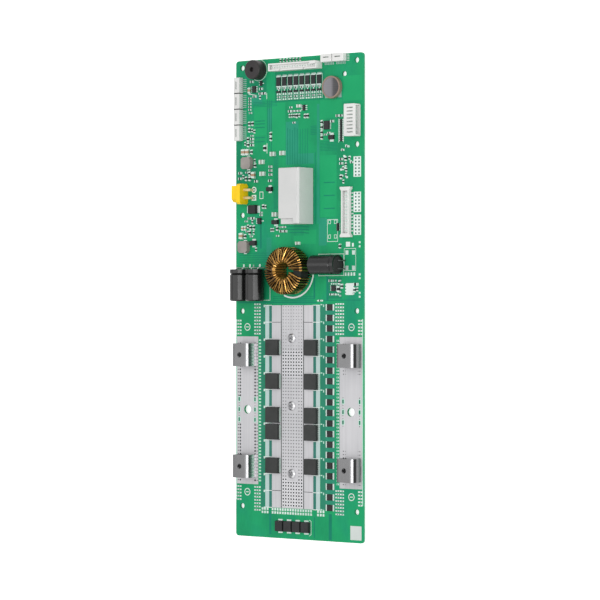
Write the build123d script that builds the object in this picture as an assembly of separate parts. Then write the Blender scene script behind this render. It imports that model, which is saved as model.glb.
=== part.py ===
"""Battery management board, lying on its back as it does on a bench.

Millimetres, +Z up, out of the component side. The origin is on the back face of the board, at
the centre of its four corner mounting holes. X runs across the board and Y along it.
Places are read off the layout as a designer does: across from the board's left or right side,
or from the centre line of the power stage, and down from the top end.
"""
from build123d import *
from math import cos, pi, radians, sin
import os

# Board blank
board_w = 100.0
board_l = 300.0
board_t = 1.6
board_corner_r = 2.0

# Mounting holes
mount_hole_r = 1.75
mount_inset = 5.0            # corner and middle holes to the nearer side
mount_top = 4.5              # top pair to the top end
mount_foot = 19.0            # bottom pair to the bottom end
mount_middle = 158.0         # middle pair, down from the top end
side_hole_left = 97.5        # single hole on the left side, down
side_hole_right = 56.0       # single hole on the right side, down
inner_hole_in = 14.5         # extra hole by the right corner, from the right side
inner_hole_down = 12.5

# What goes through the board ends this far below it, so that the board rests level on it
tail = 1.8
lead_play = 0.1              # a lead's clearance all round in its hole
seat_gap = 0.1               # air under a body that stands on its own leads

# Tinned copper fields on the component side
field_t = 0.1
stage_top = 154.4            # first row of the power stage, down
row_pitch = 10.55
stage_foot = 18.5            # room kept below the last row
row_count = int((board_l - stage_top - stage_foot) / row_pitch)
stage_l = row_pitch * row_count
pole_field_w = 17.2
pole_field_in = 0.8          # outer edge of a pole field to the board's side
pole_field_top = 174.0
pole_field_foot = 33.0       # lower end of a pole field to the board's bottom end
pole_field_l = board_l - pole_field_top - pole_field_foot
pole_hole_r = 2.75
pole_hole_in = 9.4
pole_hole_above = 0.5        # hole's centre above the field's middle
pole_hole_down = pole_field_top + pole_field_l / 2 - pole_hole_above

# Between the pole fields: source and drain columns on both sides of a strip that takes what is left
field_gap = 0.6              # bare line between the strip and the drain fields
drain_field_w = 7.2
gate_gap = 2.2               # bare board under a transistor's body
source_field_w = 3.1
stage_room_left = 5.7        # left pole field to the source column
stage_room_right = 15.1      # right pole field to the source column, with the shunts between
stage_wing = field_gap + drain_field_w + gate_gap + source_field_w
strip_w = board_w - 2 * (pole_field_in + pole_field_w + stage_wing) - stage_room_left - stage_room_right
strip_in = pole_field_in + pole_field_w + stage_room_right + stage_wing + strip_w / 2

# Power transistors, a flat package on a tab
fet_rows = [row for row in (2, 4, 6, 7, 9) if row < row_count]
fet_w = 9.9
fet_l = 10.0
fet_h = 2.3
fet_draft = 4.0
fet_tab_t = 0.5
fet_tab_out = 1.0
fet_tab_w = 8.6
fet_slug_l = 7.0             # the tab's whole length, most of it under the body
fet_lead_out = 1.0
fet_lead_w = 0.7
fet_lead_t = 0.3
fet_lead_pitch = 1.2
fet_leads = 8

# Current shunts, one column of coated metal strips
shunt_pitch = 6.5
shunt_lead_in = 1.4          # first shunt's middle below the stage's top
shunt_top = stage_top + shunt_lead_in
shunt_count = 1 + int((stage_l - shunt_lead_in) / shunt_pitch)
shunt_in = 25.2
shunt_l = 6.4
shunt_w = 3.9
shunt_t = 0.5
shunt_coat_l = 4.3
shunt_coat_t = 0.6
shunt_coat_draft = 20.0

# Clamp screws through the strip and the nuts behind them
screw_first = 20.5           # first screw below the stage's top
screw_rows = 4               # rows from one screw to the next
screw_step = screw_rows * row_pitch
screw_count = 1 + int((stage_l - screw_first) / screw_step)
screw_downs = [stage_top + screw_first + k * screw_step for k in range(screw_count)]
screw_r = 1.45
screw_head_r = 2.8
screw_head_h = 1.9
screw_head_bevel = 0.8
recess_w = 0.7
recess_l = 3.0
recess_depth = 1.1
nut_af = 5.5
nut_bore_play = 0.05

# Screw terminals, folded from one strip of sheet
terminal_w = 13.0
terminal_l = 14.4
terminal_h = 8.8
terminal_sheet = 1.6
terminal_bend_r = 2.4
terminal_thread_r = 1.65
terminal_leg_w = 5.0
terminal_end_in = 11.5       # a terminal's middle to the end of its pole field
terminal_downs = (pole_field_top + terminal_end_in, pole_field_top + pole_field_l - terminal_end_in)
terminal_in_left = 9.8
terminal_in_right = 8.2

# Wound choke, lying flat
choke_x = 46.0
choke_down = 133.0
core_ro = 13.6
core_ri = 7.5
core_h = 8.2
core_bevel = 0.8
wire_d = 1.1
wire_play = 0.1
choke_turns = 25
turn_corner = 1.0
wire_sides = 6
choke_start = 0.0            # where the leads are, towards the single capacitor
inner_lean = 0.45            # share of a turn's pitch taken across the top

# Relay
relay_x = 53.8
relay_down = 86.9
relay_w = 15.4
relay_l = 34.6
relay_h = 15.1
relay_edge = 0.4
relay_slope = 1.2            # wide bevel along the right edge of the top
relay_step_w = 11.5
relay_step_l = 3.4
relay_step_depth = 2.4
relay_pin_w = 1.2
relay_pin_t = 0.6
relay_pin_inset_x = 3.0
relay_pin_downs = (-14.0, 4.0, 14.0)

# Buzzer
buzzer_x = 18.4
buzzer_down = 6.6
buzzer_r = 6.0
buzzer_h = 7.2
buzzer_bevel = 0.5
buzzer_hole_r = 1.5
buzzer_hole_depth = 2.0
buzzer_pin_r = 0.35
buzzer_pin_pitch = 6.5

# Backup cell in its sleeve, and its tabs
cell_in = 22.8
cell_down = 20.4
cell_r = 6.5
cell_h = 2.4
cell_sleeve_t = 0.4
cell_sleeve_lip = 0.5        # sleeve's turned edge over the cell
cell_tab_w = 2.6
cell_tab_t = 0.2
cell_tab_x = 5.0
cell_tab_in = 3.0            # length of a tab under the cell
cell_tab_reach = 1.6

# Electrolytic capacitors, lying down
can_r = 6.0
can_l = 20.0
can_bevel = 0.8
can_groove_at = 3.0          # groove's middle to the lead end
can_groove_w = 1.4
can_groove_depth = 0.7
bung_r = 4.9
bung_l = 1.5
bung_sunk = 0.3
can_lead_d = 0.8
can_lead_pitch = 5.0
can_lead_out = 1.0
can_pair_gap = 0.3
can_pair_x = 7.4             # first can's axis, from the left side
can_pair_down = 131.8        # lead ends of the pair
can_choke_gap = 4.4          # closed end of the single can to the winding
can_single_x = choke_x + core_ro + wire_d + can_choke_gap + can_l
can_single_down = 129.6

# Yellow power plug, two round pins bent down into the board
plug_down = 84.3
plug_face_x = 2.1
plug_nose_l = 4.6
plug_nose_w = 10.4
plug_nose_h = 6.4
plug_nose_up = 0.8
plug_nose_bevel = 2.0
plug_flange_l = 3.0
plug_flange_w = 12.8
plug_flange_h = 8.2
plug_wall = 1.2
plug_pin_d = 1.8
plug_pin_pitch = 5.0
plug_pin_up = 4.0
plug_pin_fall_x = 13.4
plug_pin_bend = 1.0

# Small sockets with their mouth over the board's edge
socket_depth = 4.8
socket_h = 3.8
socket_wall = 0.7
socket_back = 0.8
socket_pitch = 1.25
socket_end = 1.2             # outer contact to the housing's end
contact_w = 0.4
contact_t = 0.3
contact_up = 1.7
contact_foot = 1.6
latch_w = 0.7
left_socket_ways = 7
left_socket_x = 0.9
left_socket_down = 15.6
left_socket_step = 10.0
left_socket_count = 4
top_socket_ways = 6
top_socket_down = -0.1
top_socket_gap = 1.25        # first one to the end of the sense header
top_socket_step = 8.95
top_socket_count = 2

# Cell sense header, one long row of upright pins
sense_ways = 18
sense_pitch = 2.0
sense_end = 1.95
sense_w = 4.7
sense_h = 6.0
sense_wall = 0.9
sense_floor = 4.2
sense_pin = 0.5
sense_pin_up = 5.2
sense_lock_l = 4.6           # raised block at the right end
sense_lock_h = 0.8
sense_x = 49.5
sense_down = 6.0
sense_l = (sense_ways - 1) * sense_pitch + 2 * sense_end
top_socket_l = (top_socket_ways - 1) * socket_pitch + 2 * socket_end
top_socket_x = sense_x + sense_l / 2 + top_socket_gap + top_socket_l / 2

# Side header with flared ends, a low trough with a tongue for each contact
comb_ways = 12
comb_pitch = 2.1
comb_end = 3.9
comb_w = 5.8
comb_h = 2.8
comb_wall = 0.9
comb_floor = 0.8
comb_flare_l = 2.4
comb_flare_out = 1.0
comb_slot_w = 0.7
comb_tongue = 1.0            # half the length of a tongue
comb_pin_up = 1.5
comb_in = 12.0
comb_down = 97.4

# Eight-way socket on the right side
wide_ways = 8
wide_pitch = 2.13
wide_end = 2.4
wide_depth = 8.4
wide_h = 6.0
wide_wall = 0.9
wide_back = 2.2
wide_slot_w = 0.8
wide_slot_l = 4.6
wide_face_in = 2.0
wide_down = 41.4
wide_pin_up = 2.6
wide_lead_out = 1.0

# A socket or can that lies across the board is modelled along it and turned
quarter_turn = 90.0

# Small packages
package_draft = 8.0
package_foot_t = 0.2
package_stand = 0.1

# Chip parts: length, width, height
chip_small = (1.7, 1.0, 0.55)
chip_medium = (2.2, 1.4, 0.8)
chip_large = (3.2, 1.8, 1.0)
chip_wide = (3.4, 2.6, 1.5)
chip_power = (6.4, 3.2, 0.6)
chip_cap = 0.6
chip_cap_proud = 0.06
balance_count = 8
balance_pitch = 4.57
balance_x = 34.4
balance_down = 14.7
switch_down = 21.1
gate_chip_downs = (18.9, 24.3)
top_chip_count = 7
top_chip_pitch = 2.58
top_chip_x = 36.0
top_chip_down = 1.5

# Bottom row of suppressors
diode_count = 4
diode_pitch = 6.8
diode_x = 35.8
diode_up = 7.7               # row's middle to the bottom end
diode_w = 6.2
diode_l = 6.9
diode_h = 2.2
diode_foot = 0.8

# Moulded power inductors
inductor_w = 7.4
inductor_h = 3.4
inductor_corner = 1.3
inductor_foot_w = 2.2
inductor_foot_out = 0.6

top = board_t
field_top = board_t + field_t
origin_down = (mount_top + board_l - mount_foot) / 2
centre_x = board_w / 2

parts = {}
board_cuts = []
field_cuts = []


def from_left(across, down, up=top):
    """A place on the board, from its left side and its top end."""
    return Pos(across - centre_x, origin_down - down, up)


def from_right(across, down, up=top):
    """A place on the board, from its right side and its top end."""
    return Pos(centre_x - across, origin_down - down, up)


def from_strip(across, down, up=top):
    """A place on the board, from the power stage's centre line."""
    return from_right(strip_in - across, down, up)


def block(width, length, height):
    """A plain block that stands on the plane below it."""
    return Box(width, length, height, align=(Align.CENTER, Align.CENTER, Align.MIN))


def moulded(width, length, height, draft=5.0):
    """A moulded package whose sides lean in towards the top."""
    return extrude(Rectangle(width, length), height, taper=draft)


def drill(place, radius, in_field=False):
    """A round hole through the board, and through the tin where it lies in a field."""
    hole = Pos(place.position.X, place.position.Y, board_t / 2) * Cylinder(radius, 2 * board_t)
    board_cuts.append(hole)
    if in_field:
        field_cuts.append(Pos(0, 0, board_t) * hole)


def drill_for_wire(x, y, diameter):
    """An eight-sided hole through the board that clears a bent wire all round."""
    across = diameter / 2 + lead_play
    hole = extrude(RegularPolygon(across, 8, major_radius=False), 2 * board_t)
    board_cuts.append(Pos(x, y, -board_t / 2) * hole)


def punch(place, width, length, in_field=False):
    """A rectangular slot through the board, and through the tin where it lies in a field."""
    slot = Pos(place.position.X, place.position.Y, board_t / 2) * Box(width, length, 2 * board_t)
    board_cuts.append(slot)
    if in_field:
        field_cuts.append(Pos(0, 0, board_t) * slot)


def group(solids):
    """Several separate solids as one node."""
    return Compound([solid for shape in solids for solid in shape.solids()])


def drawn_wire(route, diameter):
    """Wire along straight runs, with a mitre where two runs meet."""
    points = [Vector(*place) for place in route]
    ways = [(b - a).normalized() for a, b in zip(points, points[1:])]
    start = Plane(origin=points[0], z_dir=ways[0])
    corners = [2 * pi * k / wire_sides for k in range(wire_sides)]
    ring = [start.from_local_coords((diameter / 2 * cos(a), diameter / 2 * sin(a), 0)) for a in corners]
    rings = [ring]
    for i, way in enumerate(ways):
        last = i == len(ways) - 1
        across = way if last else (way + ways[i + 1]).normalized()
        reach = way.dot(across)
        ring = [q + way * ((points[i + 1] - q).dot(across) / reach) for q in ring]
        rings.append(ring)
    faces = [Face(Wire.make_polygon(rings[0])), Face(Wire.make_polygon(rings[-1]))]
    for low, high in zip(rings, rings[1:]):
        for k in range(wire_sides):
            n = (k + 1) % wire_sides
            faces.append(Face(Wire.make_polygon([low[k], low[n], high[n], high[k]])))
    return Solid(Shell(faces))


def make_fields():
    """The tinned fields: strip, drain and source columns, and one field for each pole."""
    length = stage_l
    middle = stage_top + length / 2
    fields = [from_strip(0, middle) * block(strip_w, length, field_t)]
    drain_at = strip_w / 2 + field_gap + drain_field_w / 2
    source_at = drain_at + drain_field_w / 2 + gate_gap + source_field_w / 2
    for side in (-1, 1):
        fields.append(from_strip(side * drain_at, middle) * block(drain_field_w, length, field_t))
        fields.append(from_strip(side * source_at, middle) * block(source_field_w, length, field_t))
    pole_at = pole_field_in + pole_field_w / 2
    pole_middle = pole_field_top + pole_field_l / 2
    for place in (from_left, from_right):
        fields.append(place(pole_at, pole_middle) * block(pole_field_w, pole_field_l, field_t))
    return fields


def make_fet():
    """One power transistor lying along X, its tab towards +X: moulded body and metal frame."""
    slug_end = fet_l / 2 + fet_tab_out
    slug = Pos(slug_end - fet_slug_l / 2, 0, 0) * block(fet_slug_l, fet_tab_w, fet_tab_t)
    body = moulded(fet_l, fet_w, fet_h, fet_draft) - slug
    frame = [slug]
    for k in range(fet_leads):
        across = (k - (fet_leads - 1) / 2) * fet_lead_pitch
        lead = Pos(-(fet_l + fet_lead_out) / 2, across, 0) * block(fet_lead_out, fet_lead_w, fet_lead_t)
        frame.append(lead)
    return body, frame


def make_power_stage():
    """Ten transistors in two facing columns, and the column of shunts beside them."""
    reach = strip_w / 2 + field_gap + fet_l / 2 + fet_tab_out
    frames = []
    count = 0
    for side in (-1, 1):
        for row in fet_rows:
            count += 1
            down = stage_top + (row + 0.5) * row_pitch
            turn = 0 if side < 0 else 180
            place = from_strip(side * reach, down, field_top) * Rot(0, 0, turn)
            body, frame = make_fet()
            parts[f"mosfet_{count:02d}"] = place * body
            frames += [place * piece for piece in frame]
    parts["mosfet_frames"] = group(frames)
    strips = []
    coats = []
    for k in range(shunt_count):
        place = from_right(shunt_in, shunt_top + k * shunt_pitch)
        strips.append(place * block(shunt_l, shunt_w, shunt_t))
        coat = moulded(shunt_coat_l, shunt_w, shunt_coat_t, shunt_coat_draft)
        coats.append(place * Pos(0, 0, shunt_t) * coat)
    parts["shunt_strips"] = group(strips)
    parts["shunt_coats"] = group(coats)


def make_clamp_screws():
    """Pan head screws through the strip, each with a thin nut that its end is flush with."""
    screws = []
    nuts = []
    for down in screw_downs:
        place = from_strip(0, down, field_top)
        rim = Plane.XZ * Polyline((0, 0), (screw_head_r, 0), (screw_head_r, screw_head_h - screw_head_bevel),
                                  (screw_head_r - screw_head_bevel, screw_head_h), (0, screw_head_h), close=True)
        screw = revolve(make_face(rim), Axis.Z)
        reach = field_top + tail
        screw += Pos(0, 0, -reach / 2) * Cylinder(screw_r, reach)
        for turn in (0, 90):
            bar = Rot(0, 0, 45 + turn) * Box(recess_l, recess_w, 2 * recess_depth)
            screw -= Pos(0, 0, screw_head_h) * bar
        screws.append(place * screw)
        nut = extrude(RegularPolygon(nut_af / 2, 6, major_radius=False), tail)
        nut -= Pos(0, 0, tail / 2) * Cylinder(screw_r + nut_bore_play, 2 * tail)
        nuts.append(from_strip(0, down, -tail) * nut)
        drill(place, screw_r + lead_play, in_field=True)
    parts["clamp_screws"] = group(screws)
    parts["clamp_nuts"] = group(nuts)


def make_terminal():
    """A bridge folded from sheet: a threaded top and two walls, each with a leg."""
    outer_w, inner_w = terminal_w, terminal_w - 2 * terminal_sheet
    fall = terminal_h + tail + field_top
    outer = Pos(0, terminal_h - fall / 2) * Rectangle(outer_w, fall)
    outer = fillet(outer.vertices().group_by(Axis.Y)[-1], terminal_bend_r)
    inner = Pos(0, terminal_h - terminal_sheet - fall / 2) * Rectangle(inner_w, fall)
    inner = fillet(inner.vertices().group_by(Axis.Y)[-1], terminal_bend_r - terminal_sheet)
    bridge = extrude(Plane.XZ * (outer - inner), terminal_l / 2, both=True)
    under = fall - terminal_h
    spare = (terminal_l - terminal_leg_w) / 2
    for side in (-1, 1):
        bridge -= Pos(0, side * (terminal_l - spare) / 2, -under) * block(outer_w, spare, under)
    bridge -= Pos(0, 0, terminal_h) * Cylinder(terminal_thread_r, 4 * terminal_sheet)
    return bridge


def make_terminals():
    """Four screw terminals, two on each pole field."""
    wall_at = (terminal_w - terminal_sheet) / 2
    sides = {"left": (from_left, terminal_in_left), "right": (from_right, terminal_in_right)}
    for side, (place, across) in sides.items():
        for end, down in zip(("upper", "lower"), terminal_downs):
            spot = place(across, down, field_top)
            parts[f"terminal_{side}_{end}"] = spot * make_terminal()
            for x in (-wall_at, wall_at):
                slot = spot * Pos(x, 0, 0)
                punch(slot, terminal_sheet + 2 * lead_play, terminal_leg_w + 2 * lead_play, True)


def strand_route(layer, shift):
    """One wire of the pair, wound from lead to lead. The second lies over the first inside."""
    half = wire_d / 2 + wire_play
    outer_r = core_ro + half
    inner_r = core_ri - half - layer * (wire_d + wire_play / 2)
    lift = layer * wire_d
    low = choke_floor + wire_d / 2 + wire_d
    high = low + core_h + 2 * half
    pitch = 2 * pi / (choke_turns + 1)
    begin = radians(choke_start) + shift * pitch
    c = turn_corner
    route = [(outer_r, begin, -tail)]
    for k in range(choke_turns):
        a = begin + k * pitch
        b = a + inner_lean * pitch
        n = a + pitch
        route += [(outer_r, a, high - c), (outer_r - c, a, high)]
        route += [(inner_r + c, b, high + lift), (inner_r, b, high + lift - c)]
        route += [(inner_r, b, low - lift)]
        route += [(outer_r, n, low)]
    route += [(outer_r, n, -tail)]
    spot = from_left(choke_x, choke_down, 0).position
    for r, a, z in (route[0], route[-1]):
        drill_for_wire(spot.X + r * cos(a), spot.Y + r * sin(a), wire_d)
    return [(spot.X + r * cos(a), spot.Y + r * sin(a), z) for r, a, z in route]


choke_floor = top + seat_gap


def make_choke():
    """A powder core with a pair of enamelled wires wound on it side by side."""
    low = choke_floor + 2 * wire_d + wire_play
    core = Pos(0, 0, core_h / 2) * (Cylinder(core_ro, core_h) - Cylinder(core_ri, 2 * core_h))
    core = chamfer(core.edges().group_by(Axis.Z)[-1], core_bevel)
    parts["choke_core"] = from_left(choke_x, choke_down, low) * core
    strands = [drawn_wire(strand_route(layer, layer / 2), wire_d) for layer in (0, 1)]
    parts["choke_winding"] = group(strands)


def make_relay():
    """A sealed relay: moulded case with a stepped end, and blades through the board."""
    case = block(relay_w, relay_l, relay_h)
    rim = case.edges().group_by(Axis.Z)[-1]
    right = rim.filter_by(Axis.Y).sort_by(Axis.X)[-1]
    case = chamfer(right, relay_slope)
    case = chamfer(case.edges().group_by(Axis.Z)[-1].filter_by(Axis.X), relay_edge)
    corner = Pos((relay_step_w - relay_w) / 2, (relay_step_l - relay_l) / 2, relay_h - relay_step_depth)
    step = block(relay_step_w, relay_step_l, 2 * relay_step_depth)
    round_end = step.edges().filter_by(Axis.Z).sort_by(Axis.X)[-1]
    case -= corner * fillet(round_end, relay_step_l / 3)
    parts["relay_case"] = from_left(relay_x, relay_down, top + seat_gap) * case
    blades = []
    for down in relay_pin_downs:
        for side in (-1, 1):
            spot = from_left(relay_x + side * (relay_w / 2 - relay_pin_inset_x), relay_down + down, -tail)
            blades.append(spot * block(relay_pin_w, relay_pin_t, tail + top + seat_gap))
            punch(spot, relay_pin_w + 2 * lead_play, relay_pin_t + 2 * lead_play)
    parts["relay_blades"] = group(blades)


def make_buzzer():
    """A round magnetic buzzer with its sound hole on top."""
    rim = Plane.XZ * Polyline((0, 0), (buzzer_r, 0), (buzzer_r, buzzer_h - buzzer_bevel),
                              (buzzer_r - buzzer_bevel, buzzer_h), (buzzer_hole_r, buzzer_h),
                              (buzzer_hole_r, buzzer_h - buzzer_hole_depth),
                              (0, buzzer_h - buzzer_hole_depth), close=True)
    case = revolve(make_face(rim), Axis.Z)
    parts["buzzer_case"] = from_left(buzzer_x, buzzer_down, top + seat_gap) * case
    pins = []
    for side in (-1, 1):
        spot = from_left(buzzer_x, buzzer_down + side * buzzer_pin_pitch / 2, -tail)
        x, y = spot.position.X, spot.position.Y
        pins.append(drawn_wire([(x, y, -tail), (x, y, top + seat_gap)], 2 * buzzer_pin_r))
        drill_for_wire(x, y, 2 * buzzer_pin_r)
    parts["buzzer_pins"] = group(pins)


def make_backup_cell():
    """A coin cell in a shrunk sleeve that turns over its edge, on two tabs."""
    low, high = cell_tab_t, cell_tab_t + cell_h
    cell = Pos(0, 0, low) * extrude(Circle(cell_r), cell_h)
    out, inside, skin = cell_r + cell_sleeve_t, cell_r - cell_sleeve_lip, high + cell_sleeve_t / 2
    ring = [(cell_r, low), (out, low), (out, skin), (inside, skin), (inside, high), (cell_r, high)]
    sleeve = revolve(make_face(Plane.XZ * Polyline(*ring, close=True)), Axis.Z)
    spot = from_right(cell_in, cell_down)
    parts["backup_cell"] = spot * cell
    parts["cell_sleeve"] = spot * sleeve
    reach = (out**2 - cell_tab_x**2) ** 0.5 + cell_tab_reach
    tab = Pos(0, (cell_tab_in - reach) / 2, 0) * block(cell_tab_w, reach + cell_tab_in, cell_tab_t)
    parts["cell_tabs"] = group([spot * Pos(x, 0, 0) * tab for x in (-cell_tab_x, cell_tab_x)])


def make_can():
    """An electrolytic can on its side, axis along Y, lead end at the origin towards +Y."""
    r, l, w, d = can_r, can_l, can_groove_w / 2, can_groove_depth
    at = can_groove_at
    hollow = bung_sunk + bung_l
    line = [(0, -hollow), (bung_r, -hollow), (bung_r, 0), (r, 0), (r, -at + w), (r - d, -at), (r, -at - w),
            (r, -l + can_bevel), (r - can_bevel, -l), (0, -l)]
    can = revolve(make_face(Polyline(*line, close=True)), Axis.Y)
    bung = Pos(0, -bung_sunk, 0) * extrude(Plane.XZ * Circle(bung_r), bung_l)
    return Pos(0, 0, can_r) * can, Pos(0, 0, can_r) * bung


def can_leads(spot, turn):
    """Two leads out of the bung, bent down into the board."""
    leads = []
    angle = radians(turn)
    for side in (-1, 1):
        x, y = side * can_lead_pitch / 2, can_lead_out
        route = [(x, -bung_sunk, can_r), (x, y - can_lead_d, can_r), (x, y, can_r - can_lead_d), (x, y, -top - tail)]
        turned = [(spot.X + px * cos(angle) - py * sin(angle), spot.Y + px * sin(angle) + py * cos(angle),
                   top + pz) for px, py, pz in route]
        leads.append(drawn_wire(turned, can_lead_d))
        drill_for_wire(turned[-1][0], turned[-1][1], can_lead_d)
    return leads


def make_cans():
    """A pair of cans across the left side and a single one across the right."""
    step = 2 * can_r + can_pair_gap
    places = {
        "capacitor_left_outer": (from_left(can_pair_x, can_pair_down), 0),
        "capacitor_left_inner": (from_left(can_pair_x + step, can_pair_down), 0),
        "capacitor_right": (from_left(can_single_x, can_single_down), -quarter_turn),
    }
    bungs = []
    leads = []
    for name, (spot, turn) in places.items():
        can, bung = make_can()
        parts[name] = spot * Rot(0, 0, turn) * can
        bungs.append(spot * Rot(0, 0, turn) * bung)
        leads += can_leads(spot.position, turn)
    parts["capacitor_bungs"] = group(bungs)
    parts["capacitor_leads"] = group(leads)


def make_power_plug():
    """The yellow two-pole plug: a keyed nose, a flange and two bent round pins."""
    nose_face = Pos(0, plug_nose_up + plug_nose_h / 2) * Rectangle(plug_nose_w, plug_nose_h)
    keyed = nose_face.vertices().group_by(Axis.X)[0]
    nose_face = chamfer(keyed, plug_nose_bevel)
    bore = offset(nose_face, -plug_wall)
    toward = Plane(origin=(0, 0, 0), x_dir=(0, 1, 0), z_dir=(1, 0, 0))
    nose = extrude(toward * (nose_face - bore), plug_nose_l)
    flange = Pos(plug_nose_l + plug_flange_l / 2, 0, 0) * block(plug_flange_l, plug_flange_w, plug_flange_h)
    flange = chamfer(flange.edges().filter_by(Axis.X), plug_wall)
    body = nose + flange
    spot = from_left(plug_face_x, plug_down)
    pins = []
    for side in (-1, 1):
        y = side * plug_pin_pitch / 2
        hole = Pos(plug_nose_l, y, plug_pin_up) * Rot(0, 90, 0) * Cylinder(plug_pin_d / 2, 4 * plug_flange_l)
        body -= hole
        x0, y0 = spot.position.X, spot.position.Y + y
        fall = plug_pin_fall_x - centre_x
        high = top + plug_pin_up
        d = plug_pin_d
        route = [(x0 + plug_wall, y0, high), (fall - plug_pin_bend, y0, high),
                 (fall, y0, high - plug_pin_bend), (fall, y0, -tail)]
        pins.append(drawn_wire(route, d))
        drill_for_wire(fall, y0, d)
    parts["power_plug"] = spot * body
    parts["power_plug_pins"] = group(pins)


def make_side_socket(ways):
    """A side-entry socket with its mouth towards -X and its contacts' feet behind it."""
    length = (ways - 1) * socket_pitch + 2 * socket_end
    body = Pos(socket_depth / 2, 0, 0) * block(socket_depth, length, socket_h)
    body = chamfer(body.edges().filter_by(Axis.X), socket_wall / 2)
    room = socket_depth - socket_back
    mouth = Pos(room / 2, 0, socket_wall) * block(room, length - 2 * socket_wall, socket_h - 2 * socket_wall)
    body -= mouth
    body -= Pos(room / 2, 0, socket_h - 1.5 * socket_wall) * block(latch_w, length / 2, 2 * socket_wall)
    contacts = []
    t = contact_t
    behind = socket_depth + t
    side = [(socket_wall, contact_up), (behind - t, contact_up), (behind - t, 0), (behind, 0),
            (behind, contact_up + t), (socket_wall, contact_up + t)]
    for k in range(ways):
        across = (k - (ways - 1) / 2) * socket_pitch
        strip = extrude(Plane.XZ * make_face(Polyline(*side, close=True)), contact_w / 2, both=True)
        strip = Pos(0, across, 0) * strip
        body -= Pos(socket_depth, across, contact_up) * block(3 * socket_back, contact_w, t)
        contacts.append(strip)
    return body, contacts


def make_edge_sockets():
    """Four sockets down the left side and two along the top end."""
    contacts = []
    for k in range(left_socket_count):
        body, strips = make_side_socket(left_socket_ways)
        spot = from_left(left_socket_x, left_socket_down + k * left_socket_step)
        parts[f"left_socket_{k + 1}"] = spot * body
        contacts += [spot * strip for strip in strips]
    parts["left_socket_contacts"] = group(contacts)
    contacts = []
    for k in range(top_socket_count):
        body, strips = make_side_socket(top_socket_ways)
        spot = from_left(top_socket_x + k * top_socket_step, top_socket_down) * Rot(0, 0, -quarter_turn)
        parts[f"top_socket_{k + 1}"] = spot * body
        contacts += [spot * strip for strip in strips]
    parts["top_socket_contacts"] = group(contacts)


def make_sense_header():
    """A long shallow trough with a row of square pins, and a raised block at its right end."""
    length = sense_l
    trough = block(length, sense_w, sense_h)
    trough = chamfer(trough.edges().filter_by(Axis.Z), sense_wall / 3)
    room_h = sense_h - sense_floor
    trough -= Pos(0, 0, sense_floor) * block(length - 2 * sense_wall, sense_w - 2 * sense_wall, room_h)
    notch = Pos(0, -sense_w / 2, sense_h - room_h / 2) * block(sense_pitch, 2 * sense_wall, room_h)
    for side in (-1, 1):
        trough -= Pos(side * length / 4, 0, 0) * notch
    lock_at = (length - sense_lock_l - sense_wall) / 2
    lock = Pos(lock_at, (sense_w - 2 * sense_wall) / 2, sense_h)
    trough += lock * block(sense_lock_l, 2 * sense_wall, sense_lock_h)
    spot = from_left(sense_x, sense_down)
    pins = []
    for k in range(sense_ways):
        across = (k - (sense_ways - 1) / 2) * sense_pitch
        rod = Pos(across, 0, -top - tail) * block(sense_pin, sense_pin, top + tail + sense_pin_up)
        trough -= rod
        pins.append(spot * rod)
        punch(spot * Pos(across, 0, 0), sense_pin, sense_pin)
    parts["sense_header"] = spot * trough
    parts["sense_header_pins"] = group(pins)


def make_comb_header():
    """The side header: a low trough with flared ends, a tongue and a foot for each contact."""
    length = (comb_ways - 1) * comb_pitch + 2 * comb_end
    half, w = length / 2, comb_w / 2
    flare, out = comb_flare_l, comb_flare_out
    edge = [(-w - out, half), (-w - out, half - flare / 2), (-w, half - flare), (-w, flare - half),
            (-w - out, flare / 2 - half), (-w - out, -half), (w + out, -half), (w + out, flare / 2 - half),
            (w, flare - half), (w, half - flare), (w + out, half - flare / 2), (w + out, half)]
    trough = extrude(make_face(Polyline(*edge, close=True)), comb_h)
    room_h = comb_h - comb_floor
    room_l = length - 2 * flare
    trough -= Pos(0, 0, comb_floor) * block(comb_w - 2 * comb_wall, room_l, room_h)
    spot = from_right(comb_in, comb_down)
    pins = []
    t, tongue = contact_t, comb_tongue
    foot = w + contact_foot
    side = [(-tongue, 0), (foot, 0), (foot, t), (tongue, t), (tongue, comb_pin_up), (-tongue, comb_pin_up)]
    for k in range(comb_ways):
        along = (k - (comb_ways - 1) / 2) * comb_pitch
        profile = Plane.XZ * make_face(Polyline(*side, close=True))
        strip = Pos(0, along, 0) * extrude(profile, comb_slot_w / 2, both=True)
        trough -= strip
        pins.append(spot * strip)
    parts["side_header"] = spot * trough
    parts["side_header_contacts"] = group(pins)


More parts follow.
